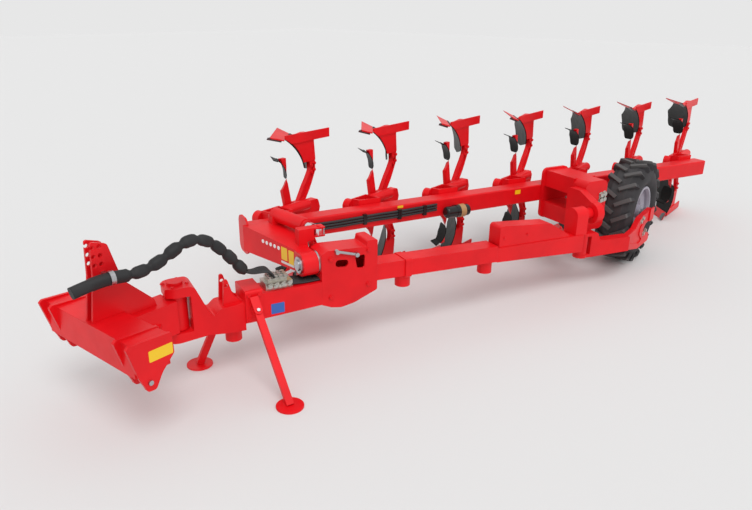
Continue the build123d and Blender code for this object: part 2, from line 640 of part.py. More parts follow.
def make_wheel_arm():
    """Arm from the steering pin round the near side of the wheel, and its axle."""
    pivot = beam_to_travel(STEER_X, AXIS_LEFT)
    wheel_x, wheel_y = WHEEL_AT
    jaw = outline([
        (-2190, 395, 40), (-2687, 276, 120), (-3109, 277, 45), (-3080, 380, 45),
        (-2800, 470, 90), (-2900, 545, 60), (wheel_x - 90, 560, 70), (wheel_x - 90, 700, 70),
        (-2660, 668, 80), (-2500, 570, 60), (-2190, 555, 30),
    ])
    arm = upright(jaw, ARM_LEFT)
    pocket = outline([
        (-2330, 430, 30), (-2690, 340, 60), (-2850, 345, 30), (-2640, 480, 60),
        (-2860, 615, 20), (-2680, 605, 40), (-2520, 520, 40), (-2330, 505, 30),
    ])
    arm -= upright(pocket, (ARM_LEFT[1] - 12, ARM_LEFT[1]))
    target = (-2240.0, sum(ARM_LEFT) / 2 - 10)
    run = Vector(target[0] - pivot[0], target[1] - pivot[1], 0)
    reach = run.length
    plane = Plane((pivot[0], pivot[1], 0), x_dir=run, z_dir=Vector(0, 0, 1).cross(run) * -1)
    tongue_face = outline([
        (STEER_TUBE_RADIUS + MOVE_GAP + 12, 372, 20), (reach, 386), (reach + 30, 386),
        (reach + 30, 555), (210, 555, 60), (170, 655, 30), (STEER_TUBE_RADIUS + MOVE_GAP + 12, 655),
    ])
    tongue = extrude(plane * tongue_face, amount=ARM_HALF, both=True)
    low, high = STEER_TUBE_UP
    top_ear = (high + WASHER_GAP, high + WASHER_GAP + STEER_EAR)
    low_ear = (low - WASHER_GAP - STEER_EAR, low - WASHER_GAP)
    seat = Pos(*pivot) * Circle(STEER_TUBE_RADIUS + 4)
    direction = degrees(atan2(run.Y, run.X))
    bar = Pos(*pivot) * Rot(0, 0, direction) * Pos(70, 0) * Rectangle(140, 2 * ARM_HALF)
    arm += tongue
    for up in (top_ear, low_ear):
        arm += flat(seat + bar, up)
    middle_up = (low_ear[0] + top_ear[1]) / 2
    pin_length = top_ear[1] - low_ear[0]
    arm -= Pos(*pivot, middle_up) * Cylinder(STEER_PIN_RADIUS, 4 * pin_length)
    keep("wheel_arm", arm)
    pin = Pos(*pivot, middle_up) * Cylinder(STEER_PIN_RADIUS, pin_length)
    pin += Pos(*pivot, low_ear[0] - 7) * Cylinder(STEER_PIN_RADIUS + 16, 14)
    keep("steering_pin", pin)
    axle_up = TYRE_RADIUS
    axle = rod((wheel_x, ARM_LEFT[0], axle_up), (wheel_x, wheel_y - 95, axle_up), WHEEL_AXLE_RADIUS)
    axle += rod((wheel_x, ARM_LEFT[0], axle_up), (wheel_x, wheel_y + 185, axle_up), 62)
    keep("wheel_axle", axle)
    bracket = upright(
        outline([
            (wheel_x + 75, axle_up - 78, 20), (wheel_x + 75, axle_up + 78, 20),
            (wheel_x - 75, axle_up + 78, 20), (wheel_x - 75, axle_up - 78, 20),
        ]),
        (ARM_LEFT[1], ARM_LEFT[1] + 16),
    )
    keep("hub_bracket", bracket)


def make_wheel():
    """Lugged tyre, dished rim and hub."""
    x, y = WHEEL_AT
    spin = Plane((x, y, TYRE_RADIUS), x_dir=(0, 0, 1), z_dir=(0, 1, 0))
    carcass = TYRE_RADIUS - LUG_HIGH
    half = TYRE_WIDE / 2
    bead = RIM_WIDE / 2 - 14
    side = make_face(Curve() + [
        Line((RIM_RADIUS, -bead), (RIM_RADIUS + 26, -bead)),
        ThreePointArc((RIM_RADIUS + 26, -bead), (RIM_RADIUS + 115, -half), (carcass - 94, -half + 12)),
        Line((carcass - 94, -half + 12), (carcass - 30, -half + 44)),
        Line((carcass - 30, -half + 44), (carcass, -half + 110)),
        Line((carcass, -half + 110), (carcass, half - 110)),
        Line((carcass, half - 110), (carcass - 30, half - 44)),
        Line((carcass - 30, half - 44), (carcass - 94, half - 12)),
        ThreePointArc((carcass - 94, half - 12), (RIM_RADIUS + 115, half), (RIM_RADIUS + 26, bead)),
        Line((RIM_RADIUS + 26, bead), (RIM_RADIUS, bead)),
        Line((RIM_RADIUS, bead), (RIM_RADIUS, -bead)),
    ])
    tyre = revolve(Plane.XZ * side, axis=Axis.Z)
    wide = half / cos(radians(LUG_SLANT))
    lug = outline([
        (carcass - 60, 4), (TYRE_RADIUS + 30, 4), (TYRE_RADIUS + 30, wide - 50),
        (carcass - 62, wide - 3), (carcass - 88, wide - 14),
    ])
    lug_solid = Rot(LUG_SLANT, 0, 0) * extrude(Plane.XZ * lug, amount=LUG_THICK / 2, both=True)
    for i in range(LUG_COUNT):
        turn = 360 / LUG_COUNT * i
        tyre += Rot(0, 0, turn) * lug_solid
        tyre += Rot(0, 0, turn + 180 / LUG_COUNT) * mirror(lug_solid, about=Plane.XY)
    limit = Cylinder(TYRE_RADIUS, 2 * TYRE_WIDE)
    keep("tyre", spin * (tyre & limit))
    skin = RIM_RADIUS - SEAT_GAP
    rim_face = make_face(Polyline([
        (skin, -bead - SEAT_GAP), (skin + 14, -bead - SEAT_GAP), (skin + 14, -RIM_WIDE / 2),
        (skin - 12, -RIM_WIDE / 2), (skin - 24, -RIM_WIDE / 2 + 30), (skin - 24, RIM_WIDE / 2 - 30),
        (skin - 12, RIM_WIDE / 2), (skin + 14, RIM_WIDE / 2), (skin + 14, bead + SEAT_GAP),
        (skin, bead + SEAT_GAP), (skin, -bead - SEAT_GAP),
    ]))
    rim = revolve(Plane.XZ * rim_face, axis=Axis.Z)
    dish_face = make_face(Polyline([
        (WHEEL_HUB_RADIUS + SEAT_GAP, 30), (150, 30), (190, 75), (255, 95), (skin - 20, 95),
        (skin - 20, 107), (250, 107), (182, 87), (144, 42), (WHEEL_HUB_RADIUS + SEAT_GAP, 42),
        (WHEEL_HUB_RADIUS + SEAT_GAP, 30),
    ]))
    rim += revolve(Plane.XZ * dish_face, axis=Axis.Z)
    keep("rim", spin * rim)
    hub_face = make_face(Polyline([
        (WHEEL_AXLE_RADIUS + PIN_GAP, -90), (70, -90), (70, 42), (WHEEL_HUB_RADIUS, 42),
        (WHEEL_HUB_RADIUS, 64), (84, 64), (84, 150), (WHEEL_AXLE_RADIUS + PIN_GAP, 150),
        (WHEEL_AXLE_RADIUS + PIN_GAP, -90),
    ]))
    flange = make_face(Polyline([
        (70, 42.3), (130, 42.3), (130, 58), (70, 58), (70, 42.3),
    ]))
    keep("wheel_hub", spin * (revolve(Plane.XZ * hub_face, axis=Axis.Z) + revolve(Plane.XZ * flange, axis=Axis.Z)))


def stand(top, foot_at):
    """One folding stand in beam axes, its ears and pin, and its folding axis."""
    foot = Vector(foot_at[0], foot_at[1], STAND_FOOT_THICK)
    head = Vector(*top)
    down = (foot - head).normalized()
    axis = Vector(1, 0, 0).cross(down).normalized()
    plane = Plane(head, x_dir=down, z_dir=axis)
    length = (foot - head).length
    bar = plane * (Pos(length / 2, 0, 0) * Box(length, STAND_LEG, STAND_LEG * 0.62))
    eye = plane * Cylinder(STAND_EYE_RADIUS, STAND_LEG * 0.62)
    pad = Pos(foot.X, foot.Y, STAND_FOOT_THICK / 2) * Cylinder(STAND_FOOT_RADIUS, STAND_FOOT_THICK)
    keep_above = block(
        (foot.X - 400, foot.X + 400), (foot.Y - 400, foot.Y + 400), (-400, STAND_FOOT_THICK))
    bore = plane * Cylinder(STAND_PIN_RADIUS + PIN_GAP, 2 * STAND_LEG)
    leg = (bar + eye - keep_above) + pad - bore
    half = STAND_LEG * 0.31 + WASHER_GAP
    pin = plane * Cylinder(STAND_PIN_RADIUS, 2 * (half + STAND_EAR + 10))
    return leg, pin, plane, half


def make_stands():
    """Both stands with the ears and pins that carry them on the drawbar."""
    near, near_pin, near_plane, half = stand(NEAR_STAND_TOP, NEAR_STAND_FOOT)
    far, far_pin, far_plane, _ = stand(FAR_STAND_TOP, FAR_STAND_FOOT)
    keep("near_stand", turned(near))
    keep("far_stand", turned(far))
    keep("stand_pins", turned(group(near_pin, far_pin)))
    ears = []
    sides = (
        (near_plane, NEAR_STAND_TOP, AXIS_LEFT + COLLAR_HALF, 1),
        (far_plane, FAR_STAND_TOP, AXIS_LEFT - CHASSIS_HALF, -1),
    )
    for plane, top, wall, side in sides:
        gap = abs(top[1] - wall)
        inner = half + STAND_EAR / 2
        pair = None
        for shift in (-inner, inner):
            ear = plane * (Pos(0, 0, shift) * Cylinder(STAND_EYE_RADIUS, STAND_EAR))
            root = plane * (Pos(-60, 0, shift) * Box(120, 2 * STAND_EYE_RADIUS, STAND_EAR))
            pair = ear + root if pair is None else pair + ear + root
        end = inner + STAND_EAR / 2
        pair += plane * (Pos(-90, 0, side * (end - 1.5 * gap)) * Box(60, 2 * STAND_EYE_RADIUS, 3 * gap))
        across = (wall, wall + side * gap * 3)
        limit = block((top[0] - 300, top[0] + 300), across, (top[2] - 300, top[2] + 300))
        pair = pair & limit
        pair -= plane * Cylinder(STAND_PIN_RADIUS, 8 * STAND_LEG)
        ears.append(pair)
    keep("stand_ears", turned(group(*ears)))
    return near_plane, far_plane


def make_headstock():
    """Cross box with its ears, mast plates, neck and post; and the two hitch pins."""
    y = HITCH_LEFT
    front, rear = CROSS_BOX_X
    low, high = CROSS_BOX_UP
    wall = CHASSIS_WALL
    box = block((front, rear), (y - EAR_OUTER[0], y + EAR_OUTER[0]), (low, high))
    box -= block((front - wall, rear + wall), (y - EAR_INNER[0], y + EAR_INNER[0]),
                 (low + wall, high - wall))
    ear_face = outline([
        (3014, 518, 30), (3000, 478, 40), (2932, 474, 25), (2871, 581, 150), (2763, 692, 12),
        (2769, 852, 14), (3096, 868, 24), (3120, 847, 10), (3052, 600, 60),
    ])
    ear_face -= Pos(HITCH_PIN_X, HITCH_PIN_UP) * Circle(HITCH_PIN_RADIUS)
    frame = box
    for side in (1, -1):
        for near, far in (EAR_OUTER, EAR_INNER):
            spans = sorted((y + side * near, y + side * far))
            frame += upright(ear_face, spans)
    neck_front = rear + 4
    neck = block((KING_PLACE[0] + 66, neck_front), (y - NECK_HALF, y + NECK_HALF), NECK_UP)
    neck -= block((KING_PLACE[0] + 120, rear), (y - NECK_HALF + wall, y + NECK_HALF - wall),
                  (NECK_UP[0] + wall, NECK_UP[1] - wall))
    gusset = outline([
        (rear + 4, y + NECK_HALF), (rear + 4, y + 300, 30), (rear - 250, y + NECK_HALF, 0),
    ])
    frame += neck + flat(gusset, (640, 664))
    mirrored_gusset = mirror(flat(gusset, (640, 664)), about=Plane.XZ.offset(-y))
    frame += mirrored_gusset
    post_low, post_high = FORK_BOTTOM[1] + MOVE_GAP, FORK_TOP[0] - MOVE_GAP
    post = flat(Pos(*KING_PLACE) * Circle(POST_RADIUS), (post_low, post_high))
    frame += post
    frame -= Pos(*KING_PLACE, AXIS_UP) * Cylinder(KING_PIN_RADIUS + PIN_GAP, 2 * AXIS_UP)
    keep("headstock_frame", frame)
    mast_face = outline([
        (3040, high), (2987, 1180, 120), (2972, 1440, 18), (2852, 1399, 30), (2770, 1095, 160),
        (2534, NECK_UP[1] + 60, 60), (2520, NECK_UP[1]), (rear, NECK_UP[1]), (rear, high),
    ])
    for x in MAST_HOLES_X:
        for up in MAST_HOLES_UP:
            mast_face -= Pos(x, up) * Circle(TOP_LINK_RADIUS)
    mast = None
    for side in (1, -1):
        inner, outer = side * MAST_GAP / 2, side * (MAST_GAP / 2 + MAST_PLATE)
        spans = sorted((y + inner, y + outer))
        plate = upright(mast_face, spans)
        mast = plate if mast is None else mast + plate
    mast += block((2890, 2850), (y - MAST_GAP / 2, y + MAST_GAP / 2), (high + 60, high + 200))
    keep("mast", mast)
    pins = []
    for side in (1, -1):
        inner, outer = y + side * (EAR_INNER[0] - 14), y + side * (EAR_OUTER[1] + 12)
        pins.append(rod((HITCH_PIN_X, inner, HITCH_PIN_UP), (HITCH_PIN_X, outer, HITCH_PIN_UP),
                        HITCH_PIN_RADIUS))
    keep("hitch_pins", group(*pins))


KING_PLACE = beam_to_travel(KING_X, AXIS_LEFT)


def share_frame(point, wing):
    """Axes along a share's edge, and the edge's length."""
    run = Vector(wing[0] - point[0], wing[1] - point[1], 0)
    return run.normalized(), run.length


def share_plane(point, wing):
    """Plane whose u runs along the edge and whose v runs forward of it, z up."""
    along, length = share_frame(point, wing)
    return Plane((point[0], point[1], 0), x_dir=along, z_dir=(0, 0, 1)), length


def curved_board(point, wing, axis, radius, thick, face, ground):
    """Part of a cylinder's wall, cut to an outline seen square to the share's edge."""
    plane, length = share_plane(point, wing)
    behind, above = axis
    centre = plane * Pos(0, -behind, ground + above)
    tube = centre * Rot(0, 90, 0) * (
        Cylinder(radius + thick, 6 * length) - Cylinder(radius, 6 * length))
    view = Plane(plane.origin, x_dir=plane.x_dir, z_dir=plane.y_dir * -1)
    prism = extrude(view * face, amount=behind + radius + 2 * thick)
    return tube & prism


def board_depth(radius, axis, above):
    """How far behind the share's edge the board's face lies at a height."""
    return axis[0] + sqrt(radius ** 2 - (above - axis[1]) ** 2)


def share_plate(point, wing, depth, rise, thick, cut, tail, ground):
    """Sloping plate behind a cutting edge; cut and tail are its ends along the edge."""
    plane, length = share_plane(point, wing)
    slope = atan2(rise, depth)
    up, back = thick * cos(slope), thick * sin(slope)
    bevel = 1.6 * thick
    section = outline([
        (0, 0), (depth, rise), (depth - back, rise + up),
        (bevel * cos(slope) - back, bevel * sin(slope) + up),
    ])
    view = Plane(plane.origin, x_dir=plane.y_dir * -1, z_dir=plane.x_dir * -1)
    bar = extrude(view * section, amount=length, dir=plane.x_dir)
    plan = outline([(0, 0), (length, 0), (tail, -depth), (cut, -depth)])
    plate = bar & (plane * extrude(Pos(0, 0, -thick) * plan, amount=rise + 4 * thick))
    return Pos(0, 0, ground) * plate


def body_pieces():
    """Every piece of one lower plough body, in travel axes from its station."""
    board_low = SHARE_RISE
    depth = board_depth(BOARD_RADIUS, BOARD_AXIS, board_low) - SEAT_GAP
    share = share_plate(SHARE_POINT, SHARE_WING, depth, SHARE_RISE - SEAT_GAP, SHARE_THICK,
                        170, 560, 0)
    board_face = outline([
        (182, board_low), (558, board_low), (1000, 250, 60), (1004, 470, 90), (700, 478, 160),
        (412, 405, 60), (352, 300, 120), (250, 140, 100),
    ])
    board = curved_board(SHARE_POINT, SHARE_WING, BOARD_AXIS, BOARD_RADIUS, BOARD_THICK,
                         board_face, 0)
    side_faces = (BODY_SIDE - LANDSIDE_THICK, BODY_SIDE)
    landside = block(LANDSIDE_X, side_faces, LANDSIDE_UP)
    frog_face = outline([
        (393, 60), (298, 131), (217, 218, 60), (190, 285, 40), (153, LEG_FOOT), (-35, LEG_FOOT, 16),
        (-16, 129, 10), (-20, 112, 10), (60, 26, 30), (122, 23, 20),
    ])
    frog = upright(frog_face, FROG_SIDE)
    frog_hollow = offset(frog_face, -FROG_WALL, kind=Kind.INTERSECTION)
    frog -= upright(frog_hollow, (FROG_SIDE[0], FROG_SIDE[1] - FROG_WALL))
    plane, length = share_plane(SHARE_POINT, SHARE_WING)
    seat = plane * Pos(0, -BOARD_AXIS[0], BOARD_AXIS[1]) * Rot(0, 90, 0) * Cylinder(
        BOARD_RADIUS + BOARD_THICK + SEAT_GAP, 6 * length)
    frog -= seat
    landside -= seat
    leg_points = [
        (200, LEG_TOP, 108, 0), (105, 617, 98, 90), (66, 555, 88, 90), (8, 446, 80, 90),
        (12, LEG_FOOT, 86, 0),
    ]
    leg = upright(strip(leg_points), LEG_SIDE)
    pocket = strip([
        (178, LEG_TOP - 40, 60, 0), (105, 617, 58, 60), (66, 555, 50, 60), (8, 446, 44, 60),
        (10, LEG_FOOT + 30, 44, 0),
    ])
    for low, high in ((LEG_SIDE[0], LEG_SIDE[0] + 16), (LEG_SIDE[1] - 16, LEG_SIDE[1])):
        leg -= upright(pocket, (low, high))
    foot = block((150, 300), (LEG_SIDE[0] - 6, LEG_SIDE[1] + 6), (LEG_TOP - 22, LEG_TOP))
    leg += foot
    slope = degrees(atan2(SHARE_RISE, depth))
    bar_plane = plane * Rot(-slope, 0, 0)
    turn = degrees(atan2(depth / cos(radians(slope)), 170))
    bar_face = outline([
        (-24, 4), (190, 4), (190, 4 + POINT_BAR_WIDE), (62, 4 + POINT_BAR_WIDE), (-14, 14),
    ])
    point_bar = bar_plane * Rot(0, 0, -turn) * Pos(0, 0, SHARE_THICK + SEAT_GAP) * extrude(
        bar_face, amount=POINT_BAR_THICK)
    shank_points = [
        (390, LEG_TOP, 92, 0), (440, 520, 88, 60), (440, 470, 52, 30), (430, 340, 46, 40),
        (446, SKIM_UP + 8, 70, 0),
    ]
    shank = upright(strip(shank_points), SKIM_SIDE)
    skim_axis = (-70, 190)
    skim_depth = board_depth(SKIM_RADIUS, skim_axis, SKIM_SHARE_RISE) - SEAT_GAP
    skim_share = share_plate(SKIM_POINT, SKIM_WING, skim_depth, SKIM_SHARE_RISE - SEAT_GAP,
                             SKIM_SHARE_THICK, 30, 180, SKIM_UP)
    skim_face = outline([
        (30, SKIM_UP + SKIM_SHARE_RISE), (185, SKIM_UP + SKIM_SHARE_RISE), (265, SKIM_UP + 110, 40),
        (235, SKIM_UP + 235, 60), (60, SKIM_UP + 225, 60),
    ])
    skim_board = curved_board(SKIM_POINT, SKIM_WING, skim_axis, SKIM_RADIUS, SKIM_THICK,
                              skim_face, SKIM_UP)
    skim_plane, skim_length = share_plane(SKIM_POINT, SKIM_WING)
    skim_seat = skim_plane * Pos(0, -skim_axis[0], SKIM_UP + skim_axis[1]) * Rot(0, 90, 0) * Cylinder(
        SKIM_RADIUS + SKIM_THICK + SEAT_GAP, 6 * skim_length)
    shank -= skim_seat
    trip_up = AXIS_UP - TRIP_UP
    trip = rod((BRIDGE_X[0], TRIP_SIDE, trip_up), (TRIP_REAR, TRIP_SIDE, trip_up), TRIP_RADIUS)
    trip = chamfer(trip.faces().sort_by(Axis.X)[0].edges(), TRIP_NOSE)
    return {
        "legs": leg, "frogs": frog, "landsides": landside, "shares": share,
        "share_points": point_bar, "mouldboards": board, "skimmer_shanks": shank,
        "skimmer_shares": skim_share, "skimmer_boards": skim_board, "trip_cylinders": trip,
    }


def carrier():
    """Casting at one station: side plate, bridge to the beam and front ear."""
    half = CARRIER_HALF
    plate_face = Pos(CARRIER_EAR_X, AXIS_UP + half * 0.6) * Circle(CARRIER_EAR_RADIUS)
    plate_face += Pos(CARRIER_EAR_X, AXIS_UP - half * 0.6) * Circle(CARRIER_EAR_RADIUS)
    plate_face += outline([
        (CARRIER_EAR_X + 40, AXIS_UP - half * 0.8, 20), (640, AXIS_UP - half * 0.7, 40),
        (560, AXIS_UP - half), (-40, AXIS_UP - half, 40), (-70, AXIS_UP, 30),
        (-40, AXIS_UP + half, 40), (560, AXIS_UP + half), (640, AXIS_UP + half * 0.7, 40),
        (CARRIER_EAR_X + 40, AXIS_UP + half * 0.8, 20),
    ])
    plate_face -= Pos(CARRIER_EAR_X, AXIS_UP + half * 0.6) * Circle(22)
    plate_face -= Pos(CARRIER_EAR_X, AXIS_UP - half * 0.6) * Circle(22)
    plate = upright(plate_face, CARRIER_SIDE)
    turn = radians(BEAM_TURN)

    def beam_face(x):
        return (-BEAM_SIDE / 2 - x * sin(turn)) / cos(turn)

    front, rear = BRIDGE_X[1], BRIDGE_X[0]
    low, high = AXIS_UP - BRIDGE_HALF, AXIS_UP + BRIDGE_HALF
    seat = SEAT_GAP / cos(turn)

    def plan(inset):
        return outline([
            (rear + inset, CARRIER_SIDE[1] + inset), (front - inset, CARRIER_SIDE[1] + inset),
            (front - inset, beam_face(front) - inset - seat),
            (rear + inset, beam_face(rear) - inset - seat),
        ])

    bridge = flat(plan(0), (low, high))
    for up in ((low, AXIS_UP - BRIDGE_WALL), (AXIS_UP + BRIDGE_WALL, high)):
        bridge -= flat(plan(BRIDGE_WALL), up)
    return plate + bridge


def make_bodies():
    """Place every body piece and carrier at the stations, lower and upper."""
    pieces = body_pieces()
    one_carrier = carrier()
    stations = [beam_to_travel(-BODY_PITCH * i, 0) for i in range(BODY_COUNT)]
    for node, piece in pieces.items():
        both = (piece, mirrored(piece))
        keep(node, group(*[Pos(x, y) * one for x, y in stations for one in both]))
    keep("station_carriers", group(*[Pos(x, y) * one_carrier for x, y in stations]))


def hose_tube(route, diameter):
    """Tube along straight runs joined by arcs that are as large as the runs allow."""
    points = [Vector(*p) for p in route]
    runs = [(b - a).length for a, b in zip(points, points[1:])]
    radii = []
    for i in range(1, len(points) - 1):
        turn = (points[i] - points[i - 1]).get_angle(points[i + 1] - points[i])
        radii.append(0.45 * min(runs[i - 1], runs[i]) / tan(radians(turn / 2)))
    path = FilletPolyline(*points, radius=radii)
    start = Plane(origin=path @ 0, z_dir=path % 0)
    tube = sweep(start * Circle(diameter / 2), path=path)
    print("hose", round(path.length), "radii", [round(r) for r in radii],
          "volume ratio", round(tube.volume / (pi * diameter ** 2 / 4 * path.length), 4))
    return tube


SLEEVE_ROUTE = [
    (3190, 190, 1150), (3050, 205, 1176), (2910, 222, 1184), (2770, 240, 1166), (2640, 255, 1176),
    (2510, 270, 1222), (2400, 285, 1282), (2275, 298, 1316), (2140, 312, 1270), (2020, 324, 1160),
    (1915, 335, 1038), (1822, 344, 918),
]


def make_hoses():
    """Hose bundle in its sleeve over the yaw post, and hoses along the beam."""
    sleeve = hose_tube(SLEEVE_ROUTE, SLEEVE)
    keep("hose_sleeve", sleeve)
    mast_side = HITCH_LEFT + MAST_GAP / 2 + MAST_PLATE
    at = SLEEVE_ROUTE[2]
    half = STRAP_WIDE / 2
    strap = rod((at[0] + half, at[1] - 2, at[2]), (at[0] - half, at[1] + 2, at[2]), SLEEVE / 2 + STRAP_THICK)
    strap += block((at[0] + half, at[0] - half), (mast_side, at[1] - SLEEVE / 2), (at[2] - 24, at[2] + 24))
    keep("sleeve_strap", strap - hose_tube(SLEEVE_ROUTE, SLEEVE + 2 * SEAT_GAP))
    hoses = []
    for drop in (0, -30, -60):
        route = [(x, y, z + drop) for x, y, z in BEAM_ROUTE]
        hoses.append(hose_tube(route, HOSE))
    keep("beam_hoses", turned(group(*hoses)))
    face = BEAM_SIDE / 2
    clamps = []
    for x in HOSE_CLAMPS_X:
        clamp = block((x - 20, x + 20), (face, face + CLAMP_THICK), (822, 934))
        for drop in (0, -30, -60):
            route = [(u, v, w + drop) for u, v, w in BEAM_ROUTE]
            clamp -= hose_tube(route, HOSE + 2 * SEAT_GAP)
        clamps.append(clamp)
    keep("hose_clamps", turned(group(*clamps)))


BEAM_ROUTE = [
    (560, 117, 905), (330, 116, 899), (60, 115, 904), (-200, 117, 912), (-450, 115, 908),
    (-720, 116, 915), (-960, 115, 922),
]


def build():
    """Make every node."""
    make_beam()
    make_head()
    make_cylinders()
    make_nose()
    make_drawbar()
    make_housing()
    make_trolley()
    make_bearing()
    make_cover()
    make_hydraulics()
    make_yoke()
    make_wheel_arm()
    make_wheel()
    planes = make_stands()
    make_headstock()
    make_bodies()
    make_hoses()
    return planes


STAND_PLANES = build()
whole = Compound(children=[Compound(children=shape.solids()) for shape in PIECES.values()]).bounding_box()
SHIFT = (-(whole.min.X + whole.max.X) / 2, -(whole.min.Y + whole.max.Y) / 2, -whole.min.Z)
print("box", whole.size, "shift", SHIFT)

for node, shape in PIECES.items():
    export_step(Pos(*SHIFT) * shape, "parts/" + node + ".step")
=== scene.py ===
"""Dress and stage for a semi-mounted reversible plough.

Metres, +Z up, travel towards +X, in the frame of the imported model.
Places are given in travel axes, or in beam axes that are turned by the slant of the beam.
Both sets of axes start at the origin that the solids were drawn from.
"""
import json
from math import cos, pi, radians, sin

import bpy
from mathutils import Matrix, Vector


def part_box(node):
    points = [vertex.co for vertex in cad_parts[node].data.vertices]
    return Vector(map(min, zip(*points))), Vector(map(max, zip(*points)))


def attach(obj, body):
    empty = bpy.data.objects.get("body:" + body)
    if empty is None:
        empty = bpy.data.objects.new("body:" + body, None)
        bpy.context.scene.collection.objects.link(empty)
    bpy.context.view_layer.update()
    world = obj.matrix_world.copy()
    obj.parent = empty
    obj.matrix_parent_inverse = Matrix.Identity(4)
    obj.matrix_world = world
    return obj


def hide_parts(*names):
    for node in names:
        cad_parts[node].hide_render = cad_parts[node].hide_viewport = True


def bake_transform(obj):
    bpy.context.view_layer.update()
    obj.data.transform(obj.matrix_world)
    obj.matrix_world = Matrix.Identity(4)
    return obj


bl_info = {
    "name": "Reversible plough dress",
    "version": (1, 0, 0),
    "blender": (4, 5, 0),
    "location": "View3D > Sidebar > Plough",
    "description": "Finishes, fasteners, hoses and stage for a semi-mounted reversible plough",
    "category": "Object",
}

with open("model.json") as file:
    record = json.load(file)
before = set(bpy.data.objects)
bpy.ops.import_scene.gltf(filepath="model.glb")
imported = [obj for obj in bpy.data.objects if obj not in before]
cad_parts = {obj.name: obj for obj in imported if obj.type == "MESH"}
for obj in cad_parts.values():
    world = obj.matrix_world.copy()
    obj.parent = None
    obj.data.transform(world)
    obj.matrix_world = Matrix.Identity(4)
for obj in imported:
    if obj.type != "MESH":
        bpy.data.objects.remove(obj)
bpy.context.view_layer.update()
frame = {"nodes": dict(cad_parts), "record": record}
LEFT = Vector((0, 1, 0))
UP = Vector((0, 0, 1))

# Layout of the machine, as in its solids
BEAM_TURN = radians(23.5)
AXIS_UP = 0.870
BODY_PITCH = 1.020
BODY_COUNT = 7
WHEEL_PLACE = Vector((-3.047, 1.906, 0.6285))
TYRE_TREAD = 0.605
KING_PLACE = (2.315, 0.073)
HEAD_FACE = (1.218, 0.213)
HEAD_SLANT = 0.284
ACCUMULATOR = (0.171, 0.830)
ACCUMULATOR_RADIUS = 0.071

# Upright faces of a body, by their distance to the left of its station on the beam
LEG_SIDE = -0.590
CARRIER_SIDE = -0.566

# Upright faces, by their distance to the left in travel axes
EAR_SIDE = 0.663
ARM_SIDE = 2.184

# Upright faces, by their distance to the left in beam axes
BEAM_SIDE = 0.100
YOKE_SIDE = 0.800
COVER_SIDE = 1.078
BLOCK_SIDE = 1.094
CHASSIS_SIDE = 1.110
COLLAR_SIDE = 1.130

# Flat tops, by their height
BLOCK_TOP = 0.816
NOSE_TOP = 0.900

# Camera of the photograph, in travel axes
CAMERA_PLACE = Vector((5.078, 4.247, 2.984))
CAMERA_RIGHT = Vector((-0.6181, 0.7860, 0.0121))
CAMERA_UP = Vector((-0.2744, -0.2301, 0.9337))
CAMERA_AHEAD = Vector((-0.7367, -0.5738, -0.3579))
CAMERA_LENS = 31.26
CAMERA_SENSOR = 36.0
CAMERA_REACH = 300

# Floor and main light
FLOOR_HALF = 60.0
KEY_RUN = Vector((-0.35, -0.55, -1.0))
KEY_SPREAD = radians(35)

# Colours that the panel does not offer
POINT_STEEL = (0.16, 0.16, 0.17)
PIN_STEEL = (0.50, 0.50, 0.52)
CHROME = (0.80, 0.81, 0.84)
BLOCK_ZINC = (0.60, 0.58, 0.52)
SCREW_ZINC = (0.55, 0.54, 0.50)
PAINT_BLACK = (0.012, 0.012, 0.013)
TYRE_BLACK = (0.020, 0.018, 0.020)
# Painted highlight: a paler colour laid on the tyre's lug tops
LUG_HIGHLIGHT_COLOUR = (0.085, 0.080, 0.080)
SLEEVE_BLACK = (0.010, 0.010, 0.011)
HOSE_BLACK = (0.014, 0.014, 0.015)
STICKER_BLUE = (0.03, 0.12, 0.45)
CAP_WHITE = (0.85, 0.85, 0.85)
BAND_TAN = (0.42, 0.24, 0.10)
STRIP_SILVER = (0.72, 0.72, 0.70)

# Distance from the wheel's centre at which the painted highlight on the lug tops starts, and where
# it is full
LUG_HIGHLIGHT_START = TYRE_TREAD - 0.015
LUG_HIGHLIGHT_FULL = TYRE_TREAD + 0.005

# Screws of each body: forward of its station, and down or up from the beam's axis
SCREW_LIFT = 0.004
LEG_SCREWS = ((-0.015, 0.500), (0.035, 0.485), (-0.010, 0.430), (0.035, 0.412))
CARRIER_SCREWS = ((0.10, 0.045), (0.21, 0.045))

# Other screws on upright faces: along the travel or the beam, and up
YOKE_SCREWS = ((-2.745, 0.925), (-2.745, 0.985), (-2.795, 0.935), (-2.795, 0.995))
ARM_SCREWS = ((-2.680, 0.620), (-2.745, 0.645), (-2.840, 0.430), (-2.900, 0.455))
COLLAR_SCREWS = [(x, z) for x in (1.450, 1.540) for z in (0.520, 0.735)]
HOUSING_SCREWS = ((0.790, 0.560), (0.790, 0.920), (0.420, 0.950), (0.420, 0.620))
COVER_SCREWS = [(x, 0.800) for x in (-1.150, -1.450, -1.900)]
BLOCK_SIDE_PORTS = [(x, 0.765) for x in (1.165, 1.225, 1.285, 1.340)]

# Screws on flat tops and round the wheel
BLOCK_TOP_PORTS = [(x, y) for x in (1.180, 1.225, 1.270, 1.315) for y in (0.945, 0.990, 1.035)]
NOSE_SCREW_TURNS = (45, 135, 225, 315)
NOSE_SCREW_CIRCLE = 0.095
WHEEL_NUTS = 8
WHEEL_NUT_CIRCLE = 0.104
WHEEL_NUT_OUT = 0.058

# Sizes of the screws, as shares of the large head
SCREW_SIZE = {
    "leg": 0.9, "carrier": 1.15, "yoke": 1.5, "wheel": 0.95, "arm": 1.3, "collar": 0.9,
    "housing": 1.1, "cover": 0.7, "nose": 0.8, "block top": 1.1, "block side": 0.9,
}
HEAD_CORNERS = 6
WASHER_CORNERS = 20
WASHER_WIDTH_SHARE = 1.32
WASHER_HEIGHT_SHARE = 0.24

